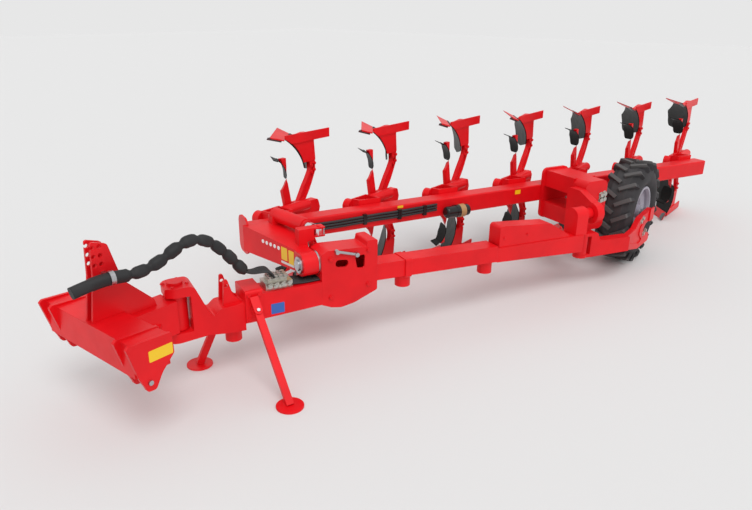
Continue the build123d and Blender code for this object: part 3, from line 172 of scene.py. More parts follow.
# Blank stickers: place along and up on their face, width, height and corner radius
STICKER_THICK = 0.001
EAR_STICKER = (2.868, 0.735, 0.190, 0.085, 0.008)
DRAWBAR_STICKER = (1.286, 0.563, 0.120, 0.095, 0.006)
HEAD_STICKERS = ((0.730, 0.890, 0.088, 0.120, 0.006), (0.828, 0.880, 0.076, 0.130, 0.006))
HEAD_STRIP = (0.775, 0.805, 0.190, 0.022, 0.004)
BEAM_STICKERS = ((-0.500, 0.951, 0.070, 0.026, 0.004), (-2.120, 0.920, 0.080, 0.050, 0.004))
CORNER_STEPS = 4

# White caps on the turning head, and the band on the accumulator
CAP_COUNT = 5
CAP_FIRST = 0.420
CAP_PITCH = 0.058
CAP_UP = 0.925
CAP_WIDTH = 0.036
CAP_THICK = 0.004
BAND_PLACE = -1.252
BAND_WIDTH = 0.068
BAND_THICK = 0.002
BAND_SIDES = 32

# Route of the hose sleeve in travel axes, as in the solids
SLEEVE_ROUTE = [
    (3.190, 0.190, 1.150), (3.050, 0.205, 1.176), (2.910, 0.222, 1.184), (2.770, 0.240, 1.166),
    (2.640, 0.255, 1.176), (2.510, 0.270, 1.222), (2.400, 0.285, 1.282), (2.275, 0.298, 1.316),
    (2.140, 0.312, 1.270), (2.020, 0.324, 1.160), (1.915, 0.335, 1.038), (1.822, 0.344, 0.918),
]
SLEEVE_DIAMETER = 0.092
SLEEVE_SIDES = 24

# Gathers of the sleeve: it is plain up to the first tie, then narrow at each tie and full between
GATHER_PITCH = 0.142
GATHER_DEPTH = 0.38
GATHER_START = 0.40
RINGS_PER_GATHER = 10
TIE_SHARPNESS = 4
PLAIN_DEPTH_SHARE = 0.1
FULL_SHARE = 1.08
FOLD_COUNT = 4
FOLD_DEPTH_SHARE = 0.22
FOLD_TURN = 1.9

# Routes of the other hoses in beam axes
BEAM_ROUTE = [
    (0.560, 0.117, 0.905), (0.330, 0.116, 0.899), (0.060, 0.115, 0.904), (-0.200, 0.117, 0.912),
    (-0.450, 0.115, 0.908), (-0.720, 0.116, 0.915), (-0.960, 0.115, 0.922),
]
BEAM_HOSE_DIAMETER = 0.026
BEAM_HOSE_DROPS = (0.0, -0.030, -0.060)
BRANCH_ROUTE = [
    (1.550, 1.045, 0.935), (1.505, 1.040, 0.912), (1.450, 1.020, 0.896), (1.385, 0.995, 0.892),
    (1.325, 0.990, 0.882), (1.295, 0.990, 0.850), (1.290, 0.990, 0.822),
]
BRANCH_SPREAD = (0.060, 0.070, 0.090, 0.120, 0.135, 0.140, 0.140)
BRANCH_COUNT = 5
RETURN_ROUTE = [
    (1.145, 0.910, 0.742), (1.100, 0.910, 0.741), (1.030, 0.912, 0.733), (0.960, 0.910, 0.732),
    (0.890, 0.908, 0.733), (0.850, 0.908, 0.734),
]
RETURN_PITCH = 0.026
RETURN_COUNT = 7
BLOCK_HOSE_DIAMETER = 0.018

# Fineness of the curves that hoses follow
HOSE_STEPS = 8
HOSE_ROUND_STEPS = 5
LINE_STEPS = 14

# The wheel's centre is known in both frames, so it gives the shift between them
rim_low, rim_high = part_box("rim")
DATUM = Vector((
    (rim_low[0] + rim_high[0]) / 2 - WHEEL_PLACE.x,
    (rim_low[1] + rim_high[1]) / 2 - WHEEL_PLACE.y,
    0.0,
))


def travel(x, y, z):
    """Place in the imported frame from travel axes."""
    return Vector((x, y, z)) + DATUM


def beam_run(x, y, z):
    """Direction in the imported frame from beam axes."""
    return Vector((
        x * cos(BEAM_TURN) + y * sin(BEAM_TURN), -x * sin(BEAM_TURN) + y * cos(BEAM_TURN), z))


def beam(x, y, z):
    """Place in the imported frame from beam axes."""
    return beam_run(x, y, z) + DATUM


def side_of(axes, side):
    """An upright face, as a function that turns a place along and up on it into a point."""
    return lambda along, height: axes(along, side, height)


def head_face(across, height):
    """Point on the slanted front face of the turning head."""
    return beam(HEAD_FACE[0] - HEAD_SLANT * (across - HEAD_FACE[1]), across, height)


class PaintSettings(bpy.types.PropertyGroup):
    """Colours of the finishes."""
    paint: bpy.props.FloatVectorProperty(
        name="Machine paint", description="Gloss paint of the frame", subtype="COLOR", size=3,
        min=0, max=1, default=(0.80, 0.004, 0.009))
    board: bpy.props.FloatVectorProperty(
        name="Board finish", description="Protective coat of the mouldboards", subtype="COLOR",
        size=3, min=0, max=1, default=(0.011, 0.0095, 0.009))
    rim: bpy.props.FloatVectorProperty(
        name="Rim paint", description="Paint of the wheel rim", subtype="COLOR", size=3,
        min=0, max=1, default=(0.36, 0.34, 0.40))
    sticker: bpy.props.FloatVectorProperty(
        name="Sticker", description="Blank stickers", subtype="COLOR", size=3,
        min=0, max=1, default=(0.90, 0.56, 0.01))


class FastenerSettings(bpy.types.PropertyGroup):
    """Sizes of the screws."""
    radius: bpy.props.FloatProperty(
        name="Head radius", description="Half the width over the corners of a large head",
        unit="LENGTH", min=0.004, max=0.04, default=0.018)
    height: bpy.props.FloatProperty(
        name="Head height", description="Height of a large head", unit="LENGTH",
        min=0.003, max=0.04, default=0.014)


class StageSettings(bpy.types.PropertyGroup):
    """Floor and light."""
    floor: bpy.props.FloatVectorProperty(
        name="Floor colour", description="Colour of the floor", subtype="COLOR", size=3,
        min=0, max=1, default=(0.70, 0.70, 0.70))
    sky: bpy.props.FloatProperty(
        name="Sky strength", description="Strength of the even light", min=0, max=5, default=0.80)
    key: bpy.props.FloatProperty(
        name="Key light", description="Strength of the soft main light", min=0, max=20,
        default=1.3)


def node_of(tree, kind):
    """The first node of a kind."""
    return next(node for node in tree.nodes if node.type == kind)


def new_finish(name):
    """Material, its node tree and its shader."""
    made = bpy.data.materials.new(name)
    made.use_nodes = True
    return made, made.node_tree, node_of(made.node_tree, "BSDF_PRINCIPLED")


def noise_at(tree, scale, detail):
    """Noise texture on object coordinates."""
    place = tree.nodes.new("ShaderNodeTexCoord")
    noise = tree.nodes.new("ShaderNodeTexNoise")
    noise.inputs["Scale"].default_value = scale
    noise.inputs["Detail"].default_value = detail
    tree.links.new(place.outputs["Object"], noise.inputs["Vector"])
    return noise


def mottle(tree, shader, noise, first, second):
    """Base colour that wanders between two colours."""
    ramp = tree.nodes.new("ShaderNodeValToRGB")
    ramp.color_ramp.elements[0].position = 0.35
    ramp.color_ramp.elements[1].position = 0.65
    ramp.color_ramp.elements[0].color = (*first, 1)
    ramp.color_ramp.elements[1].color = (*second, 1)
    tree.links.new(noise.outputs["Fac"], ramp.inputs["Fac"])
    tree.links.new(ramp.outputs["Color"], shader.inputs["Base Color"])


def roughen(tree, shader, noise, low, high):
    """Roughness that wanders between two values."""
    spread = tree.nodes.new("ShaderNodeMapRange")
    spread.inputs["To Min"].default_value = low
    spread.inputs["To Max"].default_value = high
    tree.links.new(noise.outputs["Fac"], spread.inputs["Value"])
    tree.links.new(spread.outputs["Result"], shader.inputs["Roughness"])


def relief(tree, shader, noise, strength, distance, edge=0.0):
    """Fine bump from a texture, with edges that catch the light as if they were rounded."""
    bump = tree.nodes.new("ShaderNodeBump")
    if edge:
        soft = tree.nodes.new("ShaderNodeBevel")
        soft.samples = 4
        soft.inputs["Radius"].default_value = edge
        tree.links.new(soft.outputs["Normal"], bump.inputs["Normal"])
    bump.inputs["Strength"].default_value = strength
    bump.inputs["Distance"].default_value = distance
    tree.links.new(noise.outputs["Fac"], bump.inputs["Height"])
    tree.links.new(bump.outputs["Normal"], shader.inputs["Normal"])


def scaled(colour, share):
    """A darker or paler colour of the same hue."""
    return [c * share for c in colour]


def painted(name, colour, rough=(0.36, 0.50), shade=0.86, coat=0.06, gloss=0.24):
    """Paint over welded or cast steel, with faint orange peel."""
    made, tree, shader = new_finish(name)
    mottle(tree, shader, noise_at(tree, scale=2.6, detail=3), scaled(colour, shade), colour)
    roughen(tree, shader, noise_at(tree, scale=14, detail=4), *rough)
    relief(tree, shader, noise_at(tree, scale=210, detail=2), strength=0.25, distance=0.0004,
           edge=0.005)
    shader.inputs["Specular IOR Level"].default_value = gloss
    shader.inputs["Coat Weight"].default_value = coat
    shader.inputs["Coat Roughness"].default_value = 0.18
    return made


def bare_metal(name, colour, rough=(0.22, 0.40), grain=160):
    """Bare or plated metal with fine scratches."""
    made, tree, shader = new_finish(name)
    fine = noise_at(tree, scale=grain, detail=5)
    mottle(tree, shader, fine, scaled(colour, 0.86), colour)
    roughen(tree, shader, noise_at(tree, scale=22, detail=4), *rough)
    shader.inputs["Metallic"].default_value = 1.0
    relief(tree, shader, fine, strength=0.15, distance=0.0003)
    return made


def rubbery(name, colour, rough, grain, depth):
    """Dull rubber or woven cover."""
    made, tree, shader = new_finish(name)
    fine = noise_at(tree, scale=grain, detail=4)
    mottle(tree, shader, noise_at(tree, scale=5, detail=3), colour, scaled(colour, 1.7))
    roughen(tree, shader, fine, *rough)
    relief(tree, shader, fine, strength=0.4, distance=depth)
    return made


def treaded(name, rubber, painted_highlight):
    """Tyre rubber, with a painted highlight that makes the lug tops paler than the rubber between
    them.
    """
    made = rubbery(name, rubber, rough=(0.7, 0.88), grain=120, depth=0.0012)
    tree = made.node_tree
    add = tree.nodes.new
    link = tree.links.new
    place = add("ShaderNodeTexCoord")
    offset = add("ShaderNodeVectorMath")
    offset.operation = "SUBTRACT"
    offset.inputs[1].default_value = WHEEL_PLACE + DATUM
    flat = add("ShaderNodeVectorMath")
    flat.operation = "MULTIPLY"
    flat.inputs[1].default_value = (1, 0, 1)
    reach = add("ShaderNodeVectorMath")
    reach.operation = "LENGTH"
    # Mask of the painted highlight: paler beyond the tread's radius, on the lug tops
    lug = add("ShaderNodeMapRange")
    lug.inputs["From Min"].default_value = LUG_HIGHLIGHT_START
    lug.inputs["From Max"].default_value = LUG_HIGHLIGHT_FULL
    blend = add("ShaderNodeMix")
    blend.data_type = "RGBA"
    blend.inputs["B"].default_value = (*painted_highlight, 1)
    link(place.outputs["Object"], offset.inputs[0])
    link(offset.outputs[0], flat.inputs[0])
    link(flat.outputs[0], reach.inputs[0])
    link(reach.outputs["Value"], lug.inputs["Value"])
    link(lug.outputs["Result"], blend.inputs["Factor"])
    link(node_of(tree, "VALTORGB").outputs["Color"], blend.inputs["A"])
    link(blend.outputs["Result"], node_of(tree, "BSDF_PRINCIPLED").inputs["Base Color"])
    return made


def plain_finish(name, colour, rough=0.4):
    """One even colour."""
    made, _, shader = new_finish(name)
    shader.inputs["Base Color"].default_value = (*colour, 1)
    shader.inputs["Roughness"].default_value = rough
    return made


def finish_named(name):
    """A finish that was made before."""
    return bpy.data.materials[name]


class PLOUGH_OT_finishes(bpy.types.Operator):
    """Make the finishes and put them on the solids."""
    bl_idname = "plough.finishes"
    bl_label = "Finishes"

    def execute(self, context):
        colours = context.scene.plough_paint
        finishes = {
            "paint_red": painted("machine paint", list(colours.paint)),
            "board_steel": painted(
                "board coat", list(colours.board), rough=(0.34, 0.5), shade=0.5, coat=0.0,
                gloss=0.07),
            "worn_steel": bare_metal("worn point steel", POINT_STEEL, rough=(0.35, 0.6), grain=60),
            "pin_steel": bare_metal("pin steel", PIN_STEEL),
            "chrome_rod": bare_metal("chromed rod", CHROME, rough=(0.06, 0.14)),
            "zinc_block": bare_metal("plated block", BLOCK_ZINC, rough=(0.3, 0.5), grain=80),
            "black_paint": painted(
                "black paint", PAINT_BLACK, rough=(0.2, 0.3), shade=0.8, coat=0.4),
            # The tyre gets a painted highlight on its lug tops
            "tyre": treaded("tyre rubber", TYRE_BLACK, LUG_HIGHLIGHT_COLOUR),
            "rim_paint": painted(
                "rim paint", list(colours.rim), rough=(0.35, 0.5), shade=0.85, coat=0.1),
            "sleeve_fabric": rubbery(
                "woven sleeve", SLEEVE_BLACK, rough=(0.55, 0.8), grain=300, depth=0.002),
            "hose_rubber": rubbery(
                "hose rubber", HOSE_BLACK, rough=(0.4, 0.55), grain=200, depth=0.0004),
        }
        plain_finish("blank sticker", tuple(colours.sticker), rough=0.35)
        plain_finish("blue sticker", STICKER_BLUE, rough=0.35)
        plain_finish("white cap", CAP_WHITE)
        plain_finish("tan band", BAND_TAN, rough=0.5)
        plain_finish("silver strip", STRIP_SILVER, rough=0.3)
        bare_metal("zinc screw", SCREW_ZINC, rough=(0.25, 0.45), grain=90)
        slots = {entry["node"]: entry["material_slot"] for entry in frame["record"]["subparts"]}
        for node, piece in frame["nodes"].items():
            finish = finishes[slots[node]]
            if not piece.material_slots:
                piece.data.materials.append(finish)
            for one in piece.material_slots:
                one.material = finish
        return {"FINISHED"}


def add_object(name, data):
    """Object for a mesh, curve, light or camera, at the origin of the scene."""
    made = bpy.data.objects.new(name, data)
    bpy.context.scene.collection.objects.link(made)
    return made


def shape_piece(name, vertices, faces, finish):
    """Mesh piece from points and faces, in one finish."""
    mesh = bpy.data.meshes.new(name)
    mesh.from_pydata([tuple(v) for v in vertices], [], faces)
    mesh.update()
    mesh.materials.append(finish_named(finish))
    return add_object(name, mesh)


def set_on(piece, body):
    """Let a piece ride on a body."""
    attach(piece, body)
    return piece


def square_on(normal, up):
    """Axes of a face from its normal and its rough up direction."""
    normal = normal.normalized()
    across = up.cross(normal).normalized()
    return across, normal.cross(across).normalized(), normal


def rounded_plate(centre, normal, up, wide, tall, thick, corner):
    """Vertices and faces of a thin plate with round corners that lies on a surface."""
    across, rise, out = square_on(normal, up)
    ring = []
    for index, (sx, sy) in enumerate(((1, 1), (-1, 1), (-1, -1), (1, -1))):
        for step in range(CORNER_STEPS + 1):
            turn = pi / 2 * (index + step / CORNER_STEPS)
            u = sx * (wide / 2 - corner) + corner * cos(turn)
            v = sy * (tall / 2 - corner) + corner * sin(turn)
            ring.append(across * u + rise * v)
    count = len(ring)
    vertices = [centre + p for p in ring] + [centre + p + out * thick for p in ring]
    faces = [tuple(range(count))[::-1], tuple(range(count, 2 * count))]
    faces += [(i, (i + 1) % count, (i + 1) % count + count, i + count) for i in range(count)]
    return vertices, faces


def add_plates(name, plates, finish, body):
    """Several thin plates as one mesh; each is centre, normal, up, wide, tall, thick, corner."""
    vertices, faces = [], []
    for plate in plates:
        points, sides = rounded_plate(*plate)
        start = len(vertices)
        vertices += points
        faces += [tuple(i + start for i in side) for side in sides]
    return set_on(shape_piece(name, vertices, faces, finish), body)


def sticker_on(face, outward, row):
    """One sticker as a plate, from its place on a face and its sizes."""
    along, height, wide, tall, corner = row
    return face(along, height), outward, UP, wide, tall, STICKER_THICK, corner


def add_ring(name, centre, run, radius, thick, wide, finish, body):
    """Thin band round a cylinder."""
    across, rise, run = square_on(run, UP)
    section = ((radius, -wide / 2), (radius, wide / 2), (radius + thick, wide / 2),
               (radius + thick, -wide / 2))
    corners = len(section)
    vertices, faces = [], []
    for i in range(BAND_SIDES):
        turn = 2 * pi * i / BAND_SIDES
        arm = across * cos(turn) + rise * sin(turn)
        vertices += [centre + arm * r + run * x for r, x in section]
        k = (i + 1) % BAND_SIDES
        for j in range(corners):
            m = (j + 1) % corners
            faces.append((corners * i + j, corners * i + m, corners * k + m, corners * k + j))
    return set_on(shape_piece(name, vertices, faces, finish), body)


def screw_tree():
    """Geometry nodes that set a hexagon head and its washer on each point, along its direction."""
    tree = bpy.data.node_groups.get("screw heads")
    if tree:
        return tree
    tree = bpy.data.node_groups.new("screw heads", "GeometryNodeTree")
    tree.is_modifier = True
    for name, kind in (("Geometry", "NodeSocketGeometry"), ("Radius", "NodeSocketFloat"),
                       ("Height", "NodeSocketFloat"), ("Finish", "NodeSocketMaterial")):
        tree.interface.new_socket(name, in_out="INPUT", socket_type=kind)
    tree.interface.new_socket("Geometry", in_out="OUTPUT", socket_type="NodeSocketGeometry")
    add = tree.nodes.new
    link = tree.links.new
    given = add("NodeGroupInput").outputs

    def share_of(source, share):
        """An input of the group, multiplied."""
        times = add("ShaderNodeMath")
        times.operation = "MULTIPLY"
        times.inputs[1].default_value = share
        link(given[source], times.inputs[0])
        return times.outputs[0]

    def point_value(name, kind):
        """A value that each point carries."""
        stored = add("GeometryNodeInputNamedAttribute")
        stored.data_type = kind
        stored.inputs["Name"].default_value = name
        return stored.outputs["Attribute"]

    head = add("GeometryNodeMeshCylinder")
    head.inputs["Vertices"].default_value = HEAD_CORNERS
    link(given["Radius"], head.inputs["Radius"])
    link(given["Height"], head.inputs["Depth"])
    lift = add("ShaderNodeCombineXYZ")
    link(share_of("Height", 0.5), lift.inputs["Z"])
    raised = add("GeometryNodeTransform")
    link(lift.outputs[0], raised.inputs["Translation"])
    link(head.outputs["Mesh"], raised.inputs["Geometry"])

    washer = add("GeometryNodeMeshCylinder")
    washer.inputs["Vertices"].default_value = WASHER_CORNERS
    link(share_of("Radius", WASHER_WIDTH_SHARE), washer.inputs["Radius"])
    link(share_of("Height", WASHER_HEIGHT_SHARE), washer.inputs["Depth"])
    both = add("GeometryNodeJoinGeometry")
    link(raised.outputs["Geometry"], both.inputs["Geometry"])
    link(washer.outputs["Mesh"], both.inputs["Geometry"])

    aim = add("FunctionNodeAlignRotationToVector")
    aim.axis = "Z"
    link(point_value("outward", "FLOAT_VECTOR"), aim.inputs["Vector"])
    place = add("GeometryNodeInstanceOnPoints")
    link(given["Geometry"], place.inputs["Points"])
    link(both.outputs["Geometry"], place.inputs["Instance"])
    link(aim.outputs["Rotation"], place.inputs["Rotation"])
    link(point_value("size", "FLOAT"), place.inputs["Scale"])

    real = add("GeometryNodeRealizeInstances")
    link(place.outputs["Instances"], real.inputs["Geometry"])
    coat = add("GeometryNodeSetMaterial")
    link(real.outputs["Geometry"], coat.inputs["Geometry"])
    link(given["Finish"], coat.inputs["Material"])
    link(coat.outputs["Geometry"], add("NodeGroupOutput").inputs["Geometry"])
    return tree


def add_screws(name, body, places, finish="zinc screw"):
    """Screw heads at (place, outward, size) rows, as one plain mesh on one body."""
    sizes = bpy.context.scene.plough_fasteners
    points = bpy.data.meshes.new(name + " places")
    points.from_pydata([tuple(place) for place, _, _ in places], [], [])
    points.attributes.new("outward", "FLOAT_VECTOR", "POINT")
    points.attributes.new("size", "FLOAT", "POINT")
    for i, (_, outward, size) in enumerate(places):
        points.attributes["outward"].data[i].vector = outward.normalized()
        points.attributes["size"].data[i].value = size
    holder = add_object(name + " holder", points)
    tree = screw_tree()
    nodes = holder.modifiers.new("heads", "NODES")
    nodes.node_group = tree
    keys = {item.name: item.identifier for item in tree.interface.items_tree
            if item.item_type == "SOCKET" and item.in_out == "INPUT"}
    nodes[keys["Radius"]] = sizes.radius
    nodes[keys["Height"]] = sizes.height
    nodes[keys["Finish"]] = finish_named(finish)
    ready = holder.evaluated_get(bpy.context.evaluated_depsgraph_get())
    mesh = bpy.data.meshes.new_from_object(ready)
    mesh.name = name
    bpy.data.objects.remove(holder)
    faces_per_head = HEAD_CORNERS + 2
    if len(mesh.polygons) < faces_per_head * len(places):
        raise RuntimeError(name + " came out empty")
    return set_on(add_object(name, mesh), body)


def screws_on(face, places, outward, kind):
    """Rows of one kind of screw on an upright face."""
    return [(face(along, height), outward, SCREW_SIZE[kind]) for along, height in places]


def body_screws():
    """Rows of the screws that hold the legs and carriers, above and below the beam."""
    rows = []
    for i in range(BODY_COUNT):
        station = beam_run(-BODY_PITCH * i, 0, 0)
        for side in (1, -1):
            for x, drop in LEG_SCREWS:
                place = travel(station.x + x, station.y + LEG_SIDE + SCREW_LIFT,
                               AXIS_UP - side * drop)
                rows.append((place, LEFT, SCREW_SIZE["leg"]))
            for x, drop in CARRIER_SCREWS:
                place = travel(station.x + x, station.y + CARRIER_SIDE, AXIS_UP - side * drop)
                rows.append((place, LEFT, SCREW_SIZE["carrier"]))
    return rows


def wheel_nuts():
    """Rows of the nuts round the wheel's centre."""
    rows = []
    for i in range(WHEEL_NUTS):
        turn = 2 * pi * i / WHEEL_NUTS
        arm = Vector((WHEEL_NUT_CIRCLE * sin(turn), WHEEL_NUT_OUT, WHEEL_NUT_CIRCLE * cos(turn)))
        rows.append((WHEEL_PLACE + arm + DATUM, LEFT, SCREW_SIZE["wheel"]))
    return rows


def nose_screws():
    """Rows of the screws round the king pin."""
    rows = []
    for turn in NOSE_SCREW_TURNS:
        x = KING_PLACE[0] + NOSE_SCREW_CIRCLE * cos(radians(turn))
        y = KING_PLACE[1] + NOSE_SCREW_CIRCLE * sin(radians(turn))
        rows.append((travel(x, y, NOSE_TOP), UP, SCREW_SIZE["nose"]))
    return rows


class PLOUGH_OT_screws(bpy.types.Operator):
    """Set the screw heads of every body."""
    bl_idname = "plough.screws"
    bl_label = "Screws"

    def execute(self, context):
        near = beam_run(0, 1, 0)
        add_screws("body_screws", "frame", body_screws(), "machine paint")
        add_screws("yoke_fittings", "frame",
                   screws_on(side_of(beam, YOKE_SIDE), YOKE_SCREWS, near, "yoke"))
        add_screws("wheel_nuts", "wheel", wheel_nuts())
        add_screws("arm_bolts", "wheel_arm",
                   screws_on(side_of(travel, ARM_SIDE), ARM_SCREWS, LEFT, "arm"))
        chassis = screws_on(side_of(beam, COLLAR_SIDE), COLLAR_SCREWS, near, "collar")
        chassis += screws_on(side_of(beam, CHASSIS_SIDE), HOUSING_SCREWS, near, "housing")
        chassis += screws_on(side_of(beam, COVER_SIDE), COVER_SCREWS, near, "cover")
        chassis += nose_screws()
        add_screws("chassis_screws", "chassis", chassis, "machine paint")
        ports = [(beam(x, y, BLOCK_TOP), UP, SCREW_SIZE["block top"]) for x, y in BLOCK_TOP_PORTS]
        ports += screws_on(side_of(beam, BLOCK_SIDE), BLOCK_SIDE_PORTS, near, "block side")
        add_screws("block_fittings", "chassis", ports)
        return {"FINISHED"}


class PLOUGH_OT_stickers(bpy.types.Operator):
    """Lay the blank stickers, the white caps and the band of the accumulator."""
    bl_idname = "plough.stickers"
    bl_label = "Stickers, caps and band"

    def execute(self, context):
        near = beam_run(0, 1, 0)
        front = beam_run(1, HEAD_SLANT, 0)
        ear = sticker_on(side_of(travel, EAR_SIDE), LEFT, EAR_STICKER)
        add_plates("ear_sticker", [ear], "blank sticker", "headstock")
        drawbar = sticker_on(side_of(beam, CHASSIS_SIDE), near, DRAWBAR_STICKER)
        add_plates("drawbar_sticker", [drawbar], "blue sticker", "chassis")
        caps = [(head_face(CAP_FIRST + CAP_PITCH * i, CAP_UP), front, UP,
                 CAP_WIDTH, CAP_WIDTH, CAP_THICK, CAP_WIDTH / 2) for i in range(CAP_COUNT)]
        add_plates("head_caps", caps, "white cap", "frame")
        head = [sticker_on(head_face, front, row) for row in HEAD_STICKERS]
        add_plates("head_stickers", head, "blank sticker", "frame")
        strip = sticker_on(head_face, front, HEAD_STRIP)
        add_plates("head_strip", [strip], "silver strip", "frame")
        on_beam = [sticker_on(side_of(beam, BEAM_SIDE), near, row) for row in BEAM_STICKERS]
        add_plates("beam_stickers", on_beam, "blank sticker", "frame")
        add_ring("accumulator_band", beam(BAND_PLACE, *ACCUMULATOR), beam_run(1, 0, 0),
                 ACCUMULATOR_RADIUS, BAND_THICK, BAND_WIDTH, "tan band", "frame")
        return {"FINISHED"}


def route_curve(name, route, steps):
    """Curve object that runs smoothly along given control points."""
    curve = bpy.data.curves.new(name, "CURVE")
    curve.dimensions = "3D"
    spline = curve.splines.new("NURBS")
    spline.points.add(len(route) - 1)
    for point, place in zip(spline.points, route):
        point.co = (*place, 1)
    spline.order_u = 3
    spline.use_endpoint_u = True
    spline.resolution_u = steps
    return add_object(name, curve)


def centre_line(route):
    """Points along the smooth line of a route."""
    holder = route_curve("line", route, LINE_STEPS)
    mesh = bpy.data.meshes.new_from_object(holder)
    points = [vertex.co.copy() for vertex in mesh.vertices]
    bpy.data.objects.remove(holder)
    return points


def line_length(points):
    """Length of a line through points."""
    return sum((b - a).length for a, b in zip(points, points[1:]))


def add_hose(name, route, body, diameter):
    """Rubber hose along a route, that rides on one body."""
    hose = route_curve(name, route, HOSE_STEPS)
    hose.data.bevel_depth = diameter / 2
    hose.data.bevel_resolution = HOSE_ROUND_STEPS
    hose.data.use_fill_caps = True
    hose.data.materials.append(finish_named("hose rubber"))
    set_on(hose, body)
    return hose


def add_block_hose(name, route):
    """A short hose at the hydraulic block, of the length that its route gives."""
    length = line_length(centre_line(route))
    add_hose(name, route, "chassis", BLOCK_HOSE_DIAMETER)


def along(points, spacing):
    """Points at even spacing along a line, with their directions."""
    total = line_length(points)
    count = max(2, round(total / spacing))
    placed, walked, index = [], 0.0, 0
    for number in range(count + 1):
        reach = total * number / count
        step = points[index + 1] - points[index]
        while index < len(points) - 2 and walked + step.length < reach:
            walked += step.length
            index += 1
            step = points[index + 1] - points[index]
        placed.append((points[index] + step * ((reach - walked) / step.length), step.normalized()))
    return placed


def gather_depth(ring):
    """How far a ring of the sleeve is drawn in by its ties."""
    if ring * GATHER_PITCH / RINGS_PER_GATHER <= GATHER_START:
        return GATHER_DEPTH * PLAIN_DEPTH_SHARE
    tie = (0.5 + 0.5 * cos(2 * pi * ring / RINGS_PER_GATHER)) ** TIE_SHARPNESS
    return GATHER_DEPTH * tie


def gathered_sleeve(name, line):
    """Sleeve with soft gathers between its ties along a line, as one closed mesh."""
    stops = along(line, GATHER_PITCH / RINGS_PER_GATHER)
    vertices, faces = [], []
    for i, (place, run) in enumerate(stops):
        across = run.cross(UP).normalized()
        rise = across.cross(run)
        for j in range(SLEEVE_SIDES):
            turn = 2 * pi * j / SLEEVE_SIDES
            wave = FOLD_COUNT * turn + FOLD_TURN * (i // RINGS_PER_GATHER)
            fold = 0.5 + 0.5 * sin(wave)
            swell = FULL_SHARE - gather_depth(i) - FOLD_DEPTH_SHARE * GATHER_DEPTH * fold
            arm = across * cos(turn) + rise * sin(turn)
            vertices.append(place + arm * SLEEVE_DIAMETER / 2 * swell)
    for i in range(len(stops) - 1):
        for j in range(SLEEVE_SIDES):
            k = (j + 1) % SLEEVE_SIDES
            near, far = i * SLEEVE_SIDES, (i + 1) * SLEEVE_SIDES
            faces.append((near + j, far + j, far + k, near + k))
    faces.append(tuple(range(SLEEVE_SIDES)))
    faces.append(tuple(range(len(vertices) - SLEEVE_SIDES, len(vertices)))[::-1])
    piece = shape_piece(name, vertices, faces, "woven sleeve")
    for face in piece.data.polygons:
        face.use_smooth = len(face.vertices) == 4
    return piece


class PLOUGH_OT_hoses(bpy.types.Operator):
    """Lay the hose sleeve, the hoses on the beam and the short hoses at the hydraulic block."""
    bl_idname = "plough.hoses"
    bl_label = "Hoses"

    def execute(self, context):
        route = [travel(*p) for p in SLEEVE_ROUTE]
        line = centre_line(route)
        sleeve = gathered_sleeve("gathered_sleeve", line)
        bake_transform(sleeve)
        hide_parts("hose_sleeve")
        for number, drop in enumerate(BEAM_HOSE_DROPS, 1):
            route = [beam(x, y, z + drop) for x, y, z in BEAM_ROUTE]
            hose = add_hose("beam_hose_%d" % number, route, "frame",
                            BEAM_HOSE_DIAMETER)
            if number == 1:
                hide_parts("beam_hoses")
        for number in range(BRANCH_COUNT):
            share = number / (BRANCH_COUNT - 1) - 0.5
            route = [beam(x, y + share * spread, z)
                     for (x, y, z), spread in zip(BRANCH_ROUTE, BRANCH_SPREAD)]
            add_block_hose("branch_hose_%d" % (number + 1), route)
        for number in range(RETURN_COUNT):
            shift = RETURN_PITCH * number
            route = [beam(x, y + shift, z) for x, y, z in RETURN_ROUTE]
            add_block_hose("return_hose_%d" % (number + 1), route)
        return {"FINISHED"}


def add_light(name, run, spread, strength):
    """Broad even light that shines along a direction."""
    lamp = bpy.data.lights.new(name, "SUN")
    lamp.angle = spread
    lamp.energy = strength
    holder = add_object(name, lamp)
    holder.rotation_mode = "QUATERNION"
    holder.rotation_quaternion = run.to_track_quat("-Z", "Y")


def add_floor(colour):
    """Wide plain floor."""
    half = FLOOR_HALF
    corners = [(-half, -half, 0), (half, -half, 0), (half, half, 0), (-half, half, 0)]
    plain_finish("floor", colour, rough=0.9)
    shape_piece("floor", corners, [(0, 1, 2, 3)], "floor")


def add_sky(strength):
    """Even white light from all round."""
    world = bpy.data.worlds.new("studio")
    world.use_nodes = True
    ground = world.node_tree.nodes["Background"]
    ground.inputs["Color"].default_value = (1, 1, 1, 1)
    ground.inputs["Strength"].default_value = strength
    bpy.context.scene.world = world


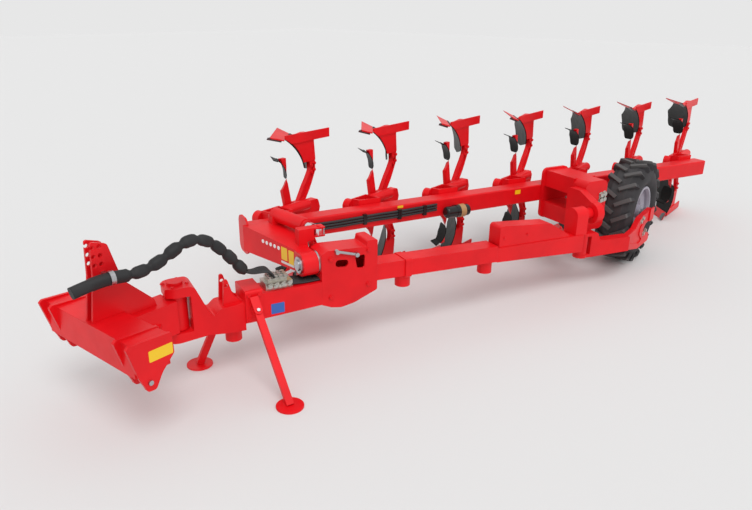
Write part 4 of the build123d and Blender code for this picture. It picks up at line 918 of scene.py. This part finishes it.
def add_camera():
    """Camera at the place and angle of the photograph."""
    lens = bpy.data.cameras.new("camera")
    lens.lens = CAMERA_LENS
    lens.sensor_width = CAMERA_SENSOR
    lens.sensor_fit = "HORIZONTAL"
    lens.clip_end = CAMERA_REACH
    camera = add_object("camera", lens)
    turn = Matrix((CAMERA_RIGHT, CAMERA_UP, -CAMERA_AHEAD)).transposed()
    camera.matrix_world = Matrix.Translation(CAMERA_PLACE + DATUM) @ turn.to_4x4()
    bpy.context.scene.camera = camera


class PLOUGH_OT_stage(bpy.types.Operator):
    """Make the floor, the light and the camera."""
    bl_idname = "plough.stage"
    bl_label = "Stage"

    def execute(self, context):
        stage = context.scene.plough_stage
        add_floor(tuple(stage.floor))
        add_sky(stage.sky)
        add_light("key", KEY_RUN, KEY_SPREAD, stage.key)
        add_camera()
        context.scene.view_settings.view_transform = "Standard"
        return {"FINISHED"}


OPERATORS = (
    PLOUGH_OT_finishes, PLOUGH_OT_screws, PLOUGH_OT_stickers, PLOUGH_OT_hoses, PLOUGH_OT_stage)
SETTINGS = (
    ("plough_paint", PaintSettings), ("plough_fasteners", FastenerSettings),
    ("plough_stage", StageSettings))


class PLOUGH_PT_panel(bpy.types.Panel):
    """Settings and steps that dress the plough."""
    bl_idname = "PLOUGH_PT_panel"
    bl_label = "Plough"
    bl_space_type = "VIEW_3D"
    bl_region_type = "UI"
    bl_category = "Plough"

    def draw(self, context):
        for key, group in SETTINGS:
            box = self.layout.box()
            for value in group.__annotations__:
                box.prop(getattr(context.scene, key), value)
        for step in OPERATORS:
            self.layout.operator(step.bl_idname)


def register():
    """Register the settings, the steps and the panel."""
    for key, group in SETTINGS:
        bpy.utils.register_class(group)
        setattr(bpy.types.Scene, key, bpy.props.PointerProperty(type=group))
    for item in (*OPERATORS, PLOUGH_PT_panel):
        bpy.utils.register_class(item)


def unregister():
    """Take the panel, the steps and the settings out again."""
    for item in (PLOUGH_PT_panel, *reversed(OPERATORS)):
        bpy.utils.unregister_class(item)
    for key, group in reversed(SETTINGS):
        delattr(bpy.types.Scene, key)
        bpy.utils.unregister_class(group)


def main():
    """Run every step."""
    register()
    bpy.ops.plough.finishes()
    bpy.ops.plough.screws()
    bpy.ops.plough.stickers()
    bpy.ops.plough.hoses()
    bpy.ops.plough.stage()


if __name__ == "__main__":
    main()
